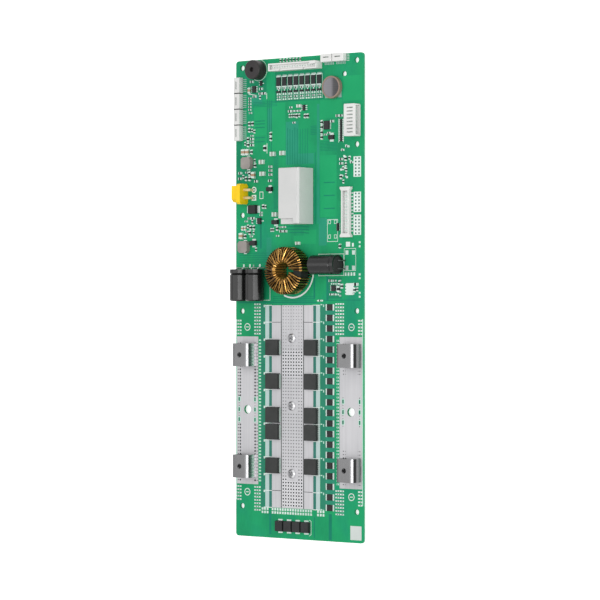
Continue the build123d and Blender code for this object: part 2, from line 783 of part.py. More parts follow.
def make_wide_socket():
    """The eight-way socket: mouth to the right, a slot in its roof over each contact."""
    length = (wide_ways - 1) * wide_pitch + 2 * wide_end
    body = Pos(-wide_depth / 2, 0, 0) * block(wide_depth, length, wide_h)
    body = chamfer(body.edges().filter_by(Axis.Z), wide_wall / 2)
    room = wide_depth - wide_back
    mouth = Pos(-room / 2, 0, wide_wall) * block(room, length - 2 * wide_wall, wide_h - 2 * wide_wall)
    body -= mouth
    spot = from_right(wide_face_in, wide_down)
    pins = []
    t = contact_t
    behind = wide_depth + wide_lead_out
    for k in range(wide_ways):
        along = (k - (wide_ways - 1) / 2) * wide_pitch
        roof = Pos(-wide_depth + wide_back + wide_slot_l / 2, along, wide_h - 1.5 * wide_wall)
        body -= roof * block(wide_slot_l, wide_slot_w, 2 * wide_wall)
        body -= Pos(-wide_depth, along, wide_pin_up) * block(3 * wide_back, sense_pin, sense_pin)
        side = [(-wide_wall, wide_pin_up), (-wide_wall, wide_pin_up + sense_pin),
                (-behind - t, wide_pin_up + sense_pin), (-behind - t, -top - tail), (-behind + t / 2, -top - tail),
                (-behind + t / 2, wide_pin_up)]
        profile = Plane.XZ * make_face(Polyline(*side, close=True))
        pin = spot * Pos(0, along, 0) * extrude(profile, sense_pin / 2, both=True)
        pins.append(pin)
        punch(spot * Pos(-behind - t / 4, along, 0), 1.5 * t, sense_pin)
    parts["wide_socket"] = spot * body
    parts["wide_socket_pins"] = group(pins)


chips = {"resistor": [], "capacitor": [], "bleed": []}
package_bodies = []
package_leads = []


def add_chip(kind, size, spot, upright=False):
    """One chip part. The power size has end caps that stand a little proud of the body."""
    length, width, height = size
    place = spot * Rot(0, 0, quarter_turn if upright else 0)
    if size is not chip_power:
        chips[kind].append(place * block(length, width, height))
        return
    half, end, proud = length / 2, chip_cap, height + chip_cap_proud
    outline = [(-half, 0), (half, 0), (half, proud), (half - end, proud), (half - end, height),
               (end - half, height), (end - half, proud), (-half, proud)]
    body = extrude(Plane.XZ * make_face(Polyline(*outline, close=True)), width / 2, both=True)
    chips[kind].append(place * body)


def add_package(spot, width, length, height, lead_count, lead_w=0.4, turn=0, single=0, foot_out=0.9):
    """A small moulded package with a row of feet on two sides, or `single` feet on one."""
    place = spot * Rot(0, 0, turn)
    body = moulded(width, length, height - package_stand, package_draft)
    package_bodies.append(place * Pos(0, 0, package_stand) * body)
    for side in (-1, 1):
        count = single if side > 0 and single else lead_count
        pitch = length / count
        for k in range(count):
            along = (k - (count - 1) / 2) * pitch
            foot = Pos(side * (width + foot_out) / 2, along, 0) * block(foot_out, lead_w, package_foot_t)
            package_leads.append(place * foot)


def make_balance_row():
    """Eight bleed resistors in a row, each with its switch and gate parts below it."""
    for k in range(balance_count):
        across = balance_x + k * balance_pitch
        add_chip("bleed", chip_power, from_left(across, balance_down), upright=True)
        add_package(from_left(across, switch_down), 1.3, 2.9, 1.0, 2, turn=90, single=1)
        for down in gate_chip_downs:
            add_chip("resistor", chip_small, from_left(across, down))


def make_chips():
    """The loose chip parts, cluster by cluster: across, down and whether it stands along Y."""
    small_left = [(19.6, 23.8, 1), (11.3, 24.0, 0), (11.3, 25.8, 0), (11.3, 27.6, 0), (11.3, 29.4, 0),
                  (11.3, 31.2, 0), (11.8, 33.2, 0), (13.2, 44.2, 1), (15.0, 45.0, 1), (7.6, 52.4, 1),
                  (13.2, 47.6, 0), (13.2, 51.6, 0), (15.2, 63.4, 1), (6.0, 73.2, 1), (8.8, 70.6, 0),
                  (20.4, 96.2, 0), (20.4, 97.8, 0), (24.0, 92.6, 1), (8.4, 101.4, 0), (13.4, 101.8, 1),
                  (9.8, 104.6, 1), (14.4, 108.6, 1), (9.2, 107.8, 0), (12.6, 111.0, 0), (28.6, 107.2, 1),
                  (30.2, 107.2, 1), (36.6, 105.6, 0), (39.0, 105.6, 0), (33.6, 111.0, 0), (16.4, 119.2, 1),
                  (44.2, 31.2, 0), (43.2, 36.4, 1), (45.0, 36.4, 1), (46.8, 36.4, 1), (50.8, 36.4, 1),
                  (46.6, 40.8, 0), (46.0, 33.6, 0), (48.4, 33.6, 0), (50.8, 33.6, 0)]
    medium_left = [(13.0, 13.6, 0), (20.4, 18.4, 0), (20.0, 21.4, 0), (22.8, 21.4, 0), (15.2, 23.0, 0),
                   (11.0, 40.0, 1), (13.6, 40.0, 1), (11.0, 44.0, 1), (10.0, 49.8, 1), (10.0, 53.2, 1),
                   (13.2, 49.7, 0), (13.2, 53.5, 0), (12.8, 57.8, 1), (15.6, 66.4, 1), (11.2, 71.4, 1),
                   (11.2, 74.6, 1), (3.6, 70.9, 0), (3.4, 74.4, 0), (8.4, 74.6, 1), (16.4, 76.4, 0),
                   (28.2, 47.2, 1), (28.2, 50.0, 1), (28.0, 67.6, 0), (28.0, 70.0, 0), (28.0, 72.6, 0),
                   (27.6, 76.4, 0), (22.2, 92.4, 1), (11.2, 99.6, 0), (14.0, 99.6, 0), (12.0, 105.4, 1),
                   (11.4, 108.6, 1), (14.6, 105.4, 1), (7.6, 110.8, 1), (33.4, 106.4, 1), (36.6, 108.2, 0),
                   (39.8, 108.2, 0), (43.4, 33.6, 0), (48.8, 36.6, 1), (55.4, 37.0, 1), (57.4, 37.0, 1)]
    small_right = [(28.8, 49.2, 0), (26.2, 48.2, 0), (13.2, 68.2, 1), (10.4, 64.2, 1), (15.2, 70.4, 1),
                   (12.8, 71.4, 1), (13.0, 74.6, 1), (15.0, 78.6, 1), (12.2, 57.0, 0), (15.6, 59.2, 0),
                   (21.6, 139.4, 0), (18.2, 140.4, 1), (24.6, 147.8, 0), (21.8, 147.8, 0), (4.4, 144.8, 1),
                   (33.0, 151.6, 0), (8.6, 67.0, 0)]
    medium_right = [(31.6, 41.6, 1), (31.6, 44.6, 1), (31.6, 47.8, 1), (31.6, 50.8, 1), (23.5, 41.2, 0),
                    (19.4, 38.0, 0), (16.6, 38.0, 0), (16.6, 64.8, 0), (16.6, 67.4, 0), (13.2, 64.6, 1),
                    (16.8, 75.6, 1), (17.6, 118.2, 1), (24.8, 139.4, 0), (16.0, 142.8, 1), (6.4, 145.2, 1)]
    for across, down, upright in small_left:
        add_chip("resistor", chip_small, from_left(across, down), upright)
    for across, down, upright in medium_left:
        add_chip("resistor", chip_medium, from_left(across, down), upright)
    for across, down, upright in small_right:
        add_chip("resistor", chip_small, from_right(across, down), upright)
    for across, down, upright in medium_right:
        add_chip("resistor", chip_medium, from_right(across, down), upright)
    for k in range(top_chip_count):
        add_chip("resistor", chip_small, from_left(top_chip_x + k * top_chip_pitch, top_chip_down), True)
    add_chip("resistor", chip_large, from_left(23.6, 55.8), upright=True)
    add_chip("resistor", chip_large, from_right(18.6, 144.6), upright=True)
    add_chip("resistor", chip_large, from_right(5.4, 141.8))
    medium_tan = [(5.4, 105.8, 1), (7.6, 105.8, 1)]
    wide_tan = [(6.4, 57.8, 1), (9.5, 57.8, 1), (14.4, 72.4, 1), (30.0, 59.7, 0), (37.7, 59.4, 0),
                (21.2, 64.4, 0), (21.8, 71.8, 0), (31.6, 97.6, 0), (4.6, 110.6, 1)]
    for across, down, upright in medium_tan:
        add_chip("capacitor", chip_medium, from_left(across, down), upright)
    for across, down, upright in wide_tan:
        add_chip("capacitor", chip_wide, from_left(across, down), upright)
    add_chip("capacitor", chip_large, from_left(11.0, 19.0), upright=True)
    add_chip("capacitor", chip_large, from_left(49.6, 117.0 - wire_d))
    add_chip("capacitor", chip_large, from_left(50.6, 30.6))


def make_packages():
    """Controllers, drivers, regulators and diodes in small moulded packages."""
    add_package(from_left(15.0, 18.4), 2.8, 4.2, 1.1, 4)
    add_package(from_left(20.6, 15.0), 1.8, 3.2, 1.0, 2, single=1)
    add_package(from_left(14.2, 94.0), 6.4, 5.6, 2.3, 1, lead_w=4.2, single=1, foot_out=1.8)
    add_package(from_left(19.4, 101.4), 2.8, 4.0, 1.5, 3, lead_w=0.6, single=1, foot_out=1.4)
    add_package(from_left(14.6, 115.2), 3.2, 4.8, 2.1, 1, lead_w=2.4, turn=90)
    add_package(from_left(27.6, 81.6), 2.8, 4.6, 1.8, 1, lead_w=2.2, turn=90)
    add_package(from_left(32.2, 102.4), 2.8, 5.0, 2.0, 1, lead_w=2.6, turn=90)
    add_package(from_left(54.6, 31.8), 1.8, 3.6, 1.1, 3, foot_out=1.2)
    add_package(from_right(27.6, 43.4), 4.2, 5.4, 1.2, 6, lead_w=0.4, foot_out=0.7)
    add_package(from_right(24.0, 51.0), 2.8, 4.2, 1.4, 1, lead_w=2.6, turn=90, foot_out=1.2)
    add_package(from_right(16.6, 47.0), 1.3, 13.8, 1.0, 12, lead_w=0.6)
    add_package(from_right(22.4, 144.0), 3.2, 3.6, 1.0, 4)
    add_package(from_right(19.0, 106.4), 1.4, 4.8, 1.2, 4, foot_out=0.6)


def make_bottom_row():
    """Surge suppressors side by side along the bottom end."""
    for k in range(diode_count):
        spot = from_left(diode_x + k * diode_pitch, board_l - diode_up)
        package_bodies.append(spot * Pos(0, 0, seat_gap) * moulded(diode_w, diode_l, diode_h, package_draft))
        for side in (-1, 1):
            foot = Pos(0, side * (diode_l + diode_foot) / 2, 0) * block(diode_w / 2, diode_foot, 2 * seat_gap)
            package_leads.append(spot * foot)


def make_inductors():
    """Two pressed powder inductors with a flat foot on each side."""
    feet = []
    for name, across, down in (("inductor_upper", 10.2, 64.8), ("inductor_lower", 7.6, 117.6)):
        outline = chamfer(Rectangle(inductor_w, inductor_w).vertices(), inductor_corner)
        spot = from_left(across, down)
        parts[name] = spot * Pos(0, 0, seat_gap) * extrude(outline, inductor_h)
        for side in (-1, 1):
            reach = inductor_w / 2 + inductor_foot_out
            foot = Pos(0, side * reach / 2, 0) * block(inductor_foot_w, reach, seat_gap)
            feet.append(spot * foot)
    package_leads.extend(feet)


make_power_stage()
make_clamp_screws()
make_terminals()
make_choke()
make_relay()
make_buzzer()
make_backup_cell()
make_cans()
make_power_plug()
make_edge_sockets()
make_sense_header()
make_comb_header()
make_wide_socket()
make_balance_row()
make_chips()
make_packages()
make_bottom_row()
make_inductors()
parts["chip_resistors"] = group(chips["resistor"])
parts["chip_capacitors"] = group(chips["capacitor"])
parts["balance_resistors"] = group(chips["bleed"])
parts["package_bodies"] = group(package_bodies)
parts["package_leads"] = group(package_leads)

for place in (from_left, from_right):
    for down in (mount_top, mount_middle, board_l - mount_foot):
        drill(place(mount_inset, down), mount_hole_r)
    drill(place(pole_hole_in, pole_hole_down), pole_hole_r, in_field=True)
drill(from_left(mount_inset, side_hole_left), mount_hole_r)
drill(from_right(mount_inset, side_hole_right), mount_hole_r)
drill(from_right(inner_hole_in, inner_hole_down), mount_hole_r)

blank = extrude(RectangleRounded(board_w, board_l, board_corner_r), board_t)
blank = Pos(0, origin_down - board_l / 2, 0) * blank
parts["board"] = blank - board_cuts
parts["tinned_fields"] = group([field - field_cuts for field in make_fields()])

os.makedirs("parts", exist_ok=True)
for name, shape in parts.items():
    export_step(shape, f"parts/{name}.step")
print(len(parts), "nodes")
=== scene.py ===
from math import cos, pi, sin

import bmesh
import bpy
from mathutils import Matrix, Vector


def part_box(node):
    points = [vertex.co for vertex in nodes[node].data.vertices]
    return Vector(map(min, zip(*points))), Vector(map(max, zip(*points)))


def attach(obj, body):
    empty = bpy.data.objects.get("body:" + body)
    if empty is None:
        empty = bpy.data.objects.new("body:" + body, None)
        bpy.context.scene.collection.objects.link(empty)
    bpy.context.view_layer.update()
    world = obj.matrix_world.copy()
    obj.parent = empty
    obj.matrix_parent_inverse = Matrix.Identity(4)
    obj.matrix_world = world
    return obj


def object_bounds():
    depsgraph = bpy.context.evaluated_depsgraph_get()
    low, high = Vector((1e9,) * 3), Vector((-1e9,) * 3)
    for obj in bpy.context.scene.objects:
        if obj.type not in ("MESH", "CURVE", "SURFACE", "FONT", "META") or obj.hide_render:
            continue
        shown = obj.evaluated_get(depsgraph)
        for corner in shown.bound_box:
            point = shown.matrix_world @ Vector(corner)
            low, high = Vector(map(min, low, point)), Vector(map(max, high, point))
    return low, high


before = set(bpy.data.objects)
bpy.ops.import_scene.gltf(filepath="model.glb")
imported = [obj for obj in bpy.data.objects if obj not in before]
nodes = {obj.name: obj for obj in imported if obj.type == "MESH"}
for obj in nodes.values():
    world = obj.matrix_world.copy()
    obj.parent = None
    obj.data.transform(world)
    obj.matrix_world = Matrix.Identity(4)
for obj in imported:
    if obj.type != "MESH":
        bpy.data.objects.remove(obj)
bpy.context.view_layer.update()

# Places on the board are read from its top left corner, across and down, in millimetres.
MM = 0.001
board_lo, board_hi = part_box("board")
surface = board_hi.z
field_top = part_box("tinned_fields")[1].z

# Thickness of what is printed, plated or soldered on the board, and of a mark that shows a hole
trace_t = 0.012 * MM
silk_t = 0.022 * MM
pad_t = 0.05 * MM
mark_t = 0.01 * MM

# The tops of one layer differ by a hair, in turn over a few steps
hair = 0.0004 * MM
hair_steps = 8

# Power stage, from its top end down: rows of pads and of holes, its columns and its screws
stage_top = 153.6
stage_foot = 281.0
bar_start = 153.75
bar_pitch = 2.052
hole_start = 181.7
hole_pitch = 2.032
source_columns = (24.9, 65.4)
screw_rows = (174.9, 217.1, 259.3)
screw_across = 45.3

# Camera: distance and turn found from the board's outline in the photograph
photo_px = 600
focal_px = 2645.6
axis_below_centre_px = 14.63
sensor_width = 36.0
camera_turn = 37.77 * pi / 180
camera_place = Vector((1.0080, -0.01751, 1.3010))

# Light from all sides, and how much the floor glows where the camera sees it
fill_level = 0.45
floor_grey = 0.93
floor_glow = 0.6
floor_reach = 6.0

# Finishes: how deep a grain goes, how far the painted shade in a slot looks for its walls, and half
# the width of the painted shade at a joint
grain_depth = 0.02 * MM
wave_depth = 0.03 * MM
slot_reach = 1.2 * MM
joint_half = 0.3 * MM


def spot(across, down):
    """A point on the board's top."""
    return Vector((board_lo.x + across * MM, board_hi.y - down * MM, surface))


# ---------------------------------------------------------------- camera and light

def make_camera():
    data = bpy.data.cameras.new("camera")
    data.sensor_width = sensor_width
    data.lens = focal_px / photo_px * sensor_width
    data.shift_y = axis_below_centre_px / photo_px
    data.clip_start = 0.05
    data.clip_end = 20.0
    camera = bpy.data.objects.new("camera", data)
    bpy.context.scene.collection.objects.link(camera)
    right = Vector((cos(camera_turn), 0, -sin(camera_turn)))
    back = Vector((sin(camera_turn), 0, cos(camera_turn)))
    turn = Matrix((right, Vector((0, 1, 0)), back)).transposed().to_4x4()
    camera.matrix_world = Matrix.Translation(camera_place) @ turn
    bpy.context.scene.camera = camera


def make_lamp(name, place, size, power):
    """An area lamp that faces the middle of the row's frame."""
    data = bpy.data.lights.new(name, "AREA")
    data.shape = "RECTANGLE"
    data.size, data.size_y = size
    data.energy = power
    lamp = bpy.data.objects.new(name, data)
    bpy.context.scene.collection.objects.link(lamp)
    lamp.location = place
    lamp.rotation_euler = (-Vector(place)).to_track_quat("-Z", "Y").to_euler()


def seen_directly(tree):
    """1 for what the camera sees, also in a reflection or through something clear, else 0."""
    path = tree.nodes.new("ShaderNodeLightPath")
    found = path.outputs["Is Camera Ray"]
    for ray in ("Is Glossy Ray", "Is Transmission Ray"):
        either = tree.nodes.new("ShaderNodeMath")
        either.operation = "MAXIMUM"
        tree.links.new(found, either.inputs[0])
        tree.links.new(path.outputs[ray], either.inputs[1])
        found = either.outputs[0]
    return found


def make_world():
    """A white backdrop where it is seen, and a plain fill as light."""
    world = bpy.data.worlds.new("studio")
    bpy.context.scene.world = world
    world.use_nodes = True
    tree = world.node_tree
    tree.nodes.clear()
    out = tree.nodes.new("ShaderNodeOutputWorld")
    mix = tree.nodes.new("ShaderNodeMixShader")
    seen = tree.nodes.new("ShaderNodeBackground")
    fill = tree.nodes.new("ShaderNodeBackground")
    seen.inputs["Color"].default_value = (1, 1, 1, 1)
    fill.inputs["Color"].default_value = (1, 1, 1, 1)
    fill.inputs["Strength"].default_value = fill_level
    tree.links.new(seen_directly(tree), mix.inputs[0])
    tree.links.new(fill.outputs[0], mix.inputs[1])
    tree.links.new(seen.outputs[0], mix.inputs[2])
    tree.links.new(mix.outputs[0], out.inputs["Surface"])


def make_floor():
    """A plain pale floor that keeps the board's shadow."""
    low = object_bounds()[0][2]
    corners = [(-floor_reach, -floor_reach, low), (floor_reach, -floor_reach, low),
               (floor_reach, floor_reach, low), (-floor_reach, floor_reach, low)]
    mesh = bpy.data.meshes.new("floor")
    mesh.from_pydata(corners, [], [(0, 1, 2, 3)])
    mat = bpy.data.materials.new("floor")
    mat.use_nodes = True
    tree = mat.node_tree
    shader = tree.nodes["Principled BSDF"]
    shader.inputs["Base Color"].default_value = (floor_grey, floor_grey, floor_grey, 1)
    shader.inputs["Roughness"].default_value = 0.9
    shader.inputs["Specular IOR Level"].default_value = 0.0
    shader.inputs["Emission Color"].default_value = (1, 1, 1, 1)
    gain = tree.nodes.new("ShaderNodeMath")
    gain.operation = "MULTIPLY"
    gain.inputs[1].default_value = floor_glow
    tree.links.new(seen_directly(tree), gain.inputs[0])
    tree.links.new(gain.outputs[0], shader.inputs["Emission Strength"])
    mesh.materials.append(mat)
    floor = bpy.data.objects.new("floor", mesh)
    bpy.context.scene.collection.objects.link(floor)


# ---------------------------------------------------------------- materials

class Finish:
    """A material made of nodes, with short names for the nodes used most."""

    def __init__(self, name, roughness=0.5, metallic=0.0, specular=0.5):
        self.mat = bpy.data.materials.new(name)
        self.mat.use_nodes = True
        self.tree = self.mat.node_tree
        self.shader = self.tree.nodes["Principled BSDF"]
        self.shader.inputs["Roughness"].default_value = roughness
        self.shader.inputs["Metallic"].default_value = metallic
        self.shader.inputs["Specular IOR Level"].default_value = specular
        self.coord = self.node("ShaderNodeTexCoord")

    def node(self, kind, **settings):
        made = self.tree.nodes.new(kind)
        for key, value in settings.items():
            setattr(made, key, value)
        return made

    def link(self, source, target):
        self.tree.links.new(source, target)

    def noise(self, scale, detail=3.0, rough=0.5, stretch=(1, 1, 1)):
        mapping = self.node("ShaderNodeMapping")
        mapping.inputs["Scale"].default_value = stretch
        self.link(self.coord.outputs["Object"], mapping.inputs["Vector"])
        made = self.node("ShaderNodeTexNoise")
        made.inputs["Scale"].default_value = scale
        made.inputs["Detail"].default_value = detail
        made.inputs["Roughness"].default_value = rough
        self.link(mapping.outputs[0], made.inputs["Vector"])
        return made.outputs["Fac"]

    def ramp(self, factor, *stops):
        made = self.node("ShaderNodeValToRGB")
        elements = made.color_ramp.elements
        while len(elements) < len(stops):
            elements.new(0.5)
        for element, (place, colour) in zip(elements, stops):
            element.position = place
            element.color = (*colour, 1)
        self.link(factor, made.inputs["Fac"])
        return made.outputs["Color"]

    def mix(self, factor, a, b, how="MIX"):
        """Blend two colours; each of them, and the factor, is a plain value or a node's output."""
        made = self.node("ShaderNodeMix", data_type="RGBA", blend_type=how)
        if isinstance(factor, float):
            made.inputs[0].default_value = factor
        else:
            self.link(factor, made.inputs[0])
        for value, socket in ((a, made.inputs[6]), (b, made.inputs[7])):
            if isinstance(value, tuple):
                socket.default_value = (*value, 1)
            else:
                self.link(value, socket)
        return made.outputs[2]

    def spread(self, factor, start, end, low=0.0, high=1.0):
        """From low to high as the factor goes from start to end."""
        made = self.node("ShaderNodeMapRange")
        made.inputs["From Min"].default_value = start
        made.inputs["From Max"].default_value = end
        made.inputs["To Min"].default_value = low
        made.inputs["To Max"].default_value = high
        self.link(factor, made.inputs["Value"])
        return made.outputs[0]

    def part(self, vector, axis):
        """One of a vector's three parts."""
        split = self.node("ShaderNodeSeparateXYZ")
        self.link(vector, split.inputs[0])
        return split.outputs[axis]

    def place(self, axis):
        """Where a point lies along an axis, in metres."""
        return self.part(self.coord.outputs["Object"], axis)

    def lean(self):
        """How far the surface faces to the right: 1 fully, 0 where it lies flat, -1 to the left."""
        return self.part(self.node("ShaderNodeNewGeometry").outputs["Normal"], 0)

    def within(self, low, high, axis=0):
        """1 where the place along an axis lies between two values, in metres, else 0."""
        made = self.node("ShaderNodeMath", operation="COMPARE")
        made.inputs[1].default_value = (low + high) / 2
        made.inputs[2].default_value = (high - low) / 2
        self.link(self.place(axis), made.inputs[0])
        return made.outputs[0]

    def between_columns(self, left, right):
        """1 between two places across the board, in millimetres, else 0."""
        return self.within(spot(left, 0).x, spot(right, 0).x)

    def shade(self, colour, reach, dark=0.3, closed=0.2, free=0.75):
        """Painted shade: darker in slots and gaps narrower than the reach."""
        open_sky = self.node("ShaderNodeAmbientOcclusion", samples=8)
        open_sky.inputs["Distance"].default_value = reach
        depth = self.ramp(open_sky.outputs["AO"], (closed, (dark, dark, dark)), (free, (1, 1, 1)))
        return self.mix(1.0, colour, depth, "MULTIPLY")

    def colour(self, value):
        self.link(value, self.shader.inputs["Base Color"])

    def rough(self, factor, low, high):
        self.link(self.spread(factor, 0, 1, low, high), self.shader.inputs["Roughness"])

    def bump(self, height, strength, distance=grain_depth):
        made = self.node("ShaderNodeBump")
        made.inputs["Strength"].default_value = strength
        made.inputs["Distance"].default_value = distance
        self.link(height, made.inputs["Height"])
        self.link(made.outputs[0], self.shader.inputs["Normal"])


def srgb(*levels):
    """A colour written as screen levels from 0 to 255."""
    return tuple(v / 255 / 12.92 if v <= 10 else ((v / 255 + 0.055) / 1.055) ** 2.4
                 for v in levels)


def plain_finish(name, low, high, roughness, grain, bump=0.1, specular=0.3, metallic=0.0):
    """A finish whose colour drifts between two levels, with a fine grain in its surface."""
    made = Finish(name, roughness, metallic, specular)
    slow = made.noise(grain * 0.08, 4.0)
    fine = made.noise(grain, 3.0, 0.6)
    made.colour(made.ramp(slow, (0.3, srgb(*low)), (0.7, srgb(*high))))
    made.rough(fine, roughness - 0.06, roughness + 0.08)
    made.bump(fine, bump)
    return made.mat


def tin_finish(name, low, high, roughness, metallic):
    """Levelled tin on copper: bright, a little wavy, with dull patches."""
    made = Finish(name, roughness, metallic)
    wave = made.noise(175, 3.0)
    patch = made.noise(42, 2.0)
    made.colour(made.ramp(patch, (0.35, srgb(*low)), (0.65, srgb(*high))))
    made.rough(wave, roughness - 0.08, roughness + 0.1)
    made.bump(wave, 0.12, wave_depth)
    return made.mat


def shaded_plastic(name, low, high, roughness=0.42, dark=0.3, joints=()):
    """White plastic with painted shade in its slots, in the gap to the next part and along its
    joints.
    """
    made = Finish(name, roughness, specular=0.3)
    slow = made.noise(90, 4.0)
    fine = made.noise(1200, 3.0, 0.6)
    colour = made.ramp(slow, (0.3, srgb(*low)), (0.7, srgb(*high)))
    # Painted shade: a dark line along each joint, where the gap between two sockets lies in shade.
    for joint in joints:
        line = made.within(joint - joint_half, joint + joint_half, 1)
        colour = made.mix(line, colour, srgb(52, 60, 57))
    made.colour(made.shade(colour, slot_reach, dark))
    made.rough(fine, roughness - 0.06, roughness + 0.08)
    made.bump(fine, 0.12)
    return made.mat


def socket_joints():
    """Where the four sockets in the left row meet, along the board."""
    boxes = [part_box(f"left_socket_{k}") for k in (1, 2, 3, 4)]
    return [(one[0].y + other[1].y) / 2 for one, other in zip(boxes, boxes[1:])]


def solder_mask_finish():
    """Green mask whose tone drifts with the copper below it, over the weave of the laminate."""
    made = Finish("solder_mask", 0.45, specular=0.1)
    pour = made.noise(34, 3.0, 0.55, (1, 0.6, 1))
    bands = made.noise(60, 2.0, 0.5, (1, 0.12, 1))
    weave = made.noise(900, 2.0, 0.5, (1, 0.3, 1))
    green = made.ramp(pour, (0.34, srgb(24, 138, 92)), (0.5, srgb(30, 158, 102)),
                      (0.66, srgb(28, 148, 112)))
    banded = made.ramp(bands, (0.4, srgb(24, 138, 98)), (0.6, srgb(34, 168, 106)))
    woven = made.ramp(weave, (0.4, srgb(20, 112, 76)), (0.6, srgb(46, 180, 120)))
    made.colour(made.mix(0.06, made.mix(0.3, green, banded), woven))
    made.rough(weave, 0.4, 0.5)
    made.bump(weave, 0.08)
    return made.mat


def field_finish():
    """Tinned copper with faint streaks along the board, cooler on the two source columns."""
    made = Finish("tinned_copper", 0.5, 0.2)
    half = 2.4
    patch = made.noise(30, 3.0)
    streak = made.noise(700, 2.0, 0.5, (1, 0.02, 1))
    grey = made.ramp(patch, (0.35, srgb(184, 184, 187)), (0.65, srgb(197, 196, 199)))
    lines = made.ramp(streak, (0.35, srgb(156, 156, 158)), (0.65, srgb(214, 214, 216)))
    grey = made.mix(0.12, grey, lines)
    for middle in source_columns:
        column = made.between_columns(middle - half, middle + half)
        grey = made.mix(column, grey, srgb(174, 195, 192))
    made.colour(grey)
    made.rough(patch, 0.42, 0.58)
    made.bump(streak, 0.08)
    return made.mat


def winding_finish():
    """Enamelled copper: amber and glossy, with painted shade near black between the turns and brown
    inside the ring, and a painted highlight where the wire leans to the right.
    """
    lo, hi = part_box("choke_winding")
    middle = (lo + hi) / 2
    bore = 8.6 * MM
    made = Finish("enamelled_copper", 0.25, 0.9, specular=0.4)
    tone = made.noise(160, 3.0, 0.6)
    streak = made.noise(420, 2.0, 0.6, (1, 1, 0.2))
    amber = made.ramp(tone, (0.3, srgb(112, 78, 30)), (0.5, srgb(148, 110, 50)),
                      (0.72, srgb(184, 146, 80)))
    drawn = made.ramp(streak, (0.35, srgb(80, 54, 24)), (0.65, srgb(196, 162, 104)))
    amber = made.mix(0.3, amber, drawn)
    # Painted shade: near black in the gaps between the turns outside, browner and darker inside the
    # ring's bore.
    brown = made.mix(0.5, amber, srgb(150, 108, 40))
    outside = made.shade(amber, 1.5 * MM, 0.004, 0.72, 0.985)
    inside = made.shade(brown, 1.3 * MM, 0.3, 0.0, 0.7)

    flat = made.node("ShaderNodeVectorMath", operation="MULTIPLY")
    flat.inputs[1].default_value = (1, 1, 0)
    made.link(made.coord.outputs["Object"], flat.inputs[0])
    away = made.node("ShaderNodeVectorMath", operation="DISTANCE")
    away.inputs[1].default_value = (middle.x, middle.y, 0)
    made.link(flat.outputs[0], away.inputs[0])
    in_bore = made.node("ShaderNodeMath", operation="LESS_THAN")
    in_bore.inputs[1].default_value = bore
    made.link(away.outputs["Value"], in_bore.inputs[0])

    # Painted highlight where the wire leans to the right, towards the tall lamp, darker where it
    # lies flat or leans away.
    lit = (2.3, 2.25, 2.2)
    painted_highlight = made.ramp(made.lean(), (0.0, (0.42, 0.38, 0.34)), (0.3, (0.7, 0.68, 0.64)), (0.5, lit),
                      (0.8, lit), (0.97, (0.6, 0.55, 0.45)))
    enamel = made.mix(in_bore.outputs[0], outside, inside)
    made.colour(made.mix(1.0, enamel, painted_highlight, "MULTIPLY"))
    metal = made.spread(in_bore.outputs[0], 0, 1, 0.9, 0.4)
    made.link(metal, made.shader.inputs["Metallic"])
    made.rough(streak, 0.18, 0.32)
    made.bump(streak, 0.1)
    return made.mat


def terminal_finish():
    """Rolled sheet: grey on top, with a painted highlight where the top turns down, and on its
    upright walls a painted reflection of the board beside them and painted shade towards the top.
    """
    wall_h = 6.4 * MM
    white, black = (1, 1, 1), (0, 0, 0)
    made = Finish("terminal_metal", 0.24, 0.75)
    lines = made.noise(2600, 3.0, 0.6, (1, 0.03, 1))
    slow = made.noise(60, 2.0)
    flat = made.ramp(slow, (0.3, srgb(106, 106, 107)), (0.7, srgb(114, 114, 115)))
    rolled = made.ramp(lines, (0.3, srgb(100, 100, 101)), (0.7, srgb(120, 120, 121)))
    flat = made.mix(0.3, flat, rolled)
    # The walls' colour by height is painted: a pale reflection of the tinned board near the foot of
    # the left walls, painted shade near the top, near black on the right walls.
    height = made.spread(made.place(2), surface, surface + wall_h)
    left = made.ramp(height, (0.0, srgb(255, 248, 252)), (0.5, srgb(240, 232, 238)),
                     (0.8, srgb(146, 146, 148)), (1.0, srgb(94, 106, 101)))
    right = made.ramp(height, (0.0, srgb(126, 126, 128)), (0.7, srgb(120, 120, 122)),
                      (0.8, srgb(18, 20, 20)), (1.0, srgb(18, 20, 20)))
    # Painted highlight where the top turns down towards the lamp on the right; faces that stand
    # upright take the painted walls.
    lean = made.lean()
    bend_highlight = made.ramp(lean, (0.3, black), (0.45, white), (0.86, white), (0.95, black))
    upright = made.ramp(lean, (0.88, black), (0.97, white))
    wall = made.mix(made.between_columns(13.5, 22), flat, left)
    wall = made.mix(made.between_columns(95.5, 103), wall, right)
    made.colour(made.mix(upright, made.mix(bend_highlight, flat, srgb(150, 150, 152)), wall))
    made.rough(lines, 0.18, 0.32)
    made.bump(lines, 0.12)
    return made.mat


def screw_finish():
    """Bright steel, with painted shade where it leans to the left and a painted highlight where it
    leans to the lamp.
    """
    made = Finish("screw_steel", 0.2, 0.8)
    lines = made.noise(2600, 3.0, 0.6, (0.03, 1, 1))
    # Painted shade where the head leans to the left, a painted highlight where it leans right,
    # towards the lamp.
    tone = made.ramp(made.spread(made.lean(), -1, 1), (0.3, srgb(24, 25, 26)),
                     (0.47, srgb(110, 110, 112)), (0.53, srgb(132, 132, 134)),
                     (0.7, srgb(240, 240, 242)))
    turned = made.ramp(lines, (0.3, srgb(60, 60, 62)), (0.7, srgb(190, 190, 192)))
    made.colour(made.mix(0.15, tone, turned))
    made.rough(lines, 0.14, 0.26)
    made.bump(lines, 0.1)
    return made.mat


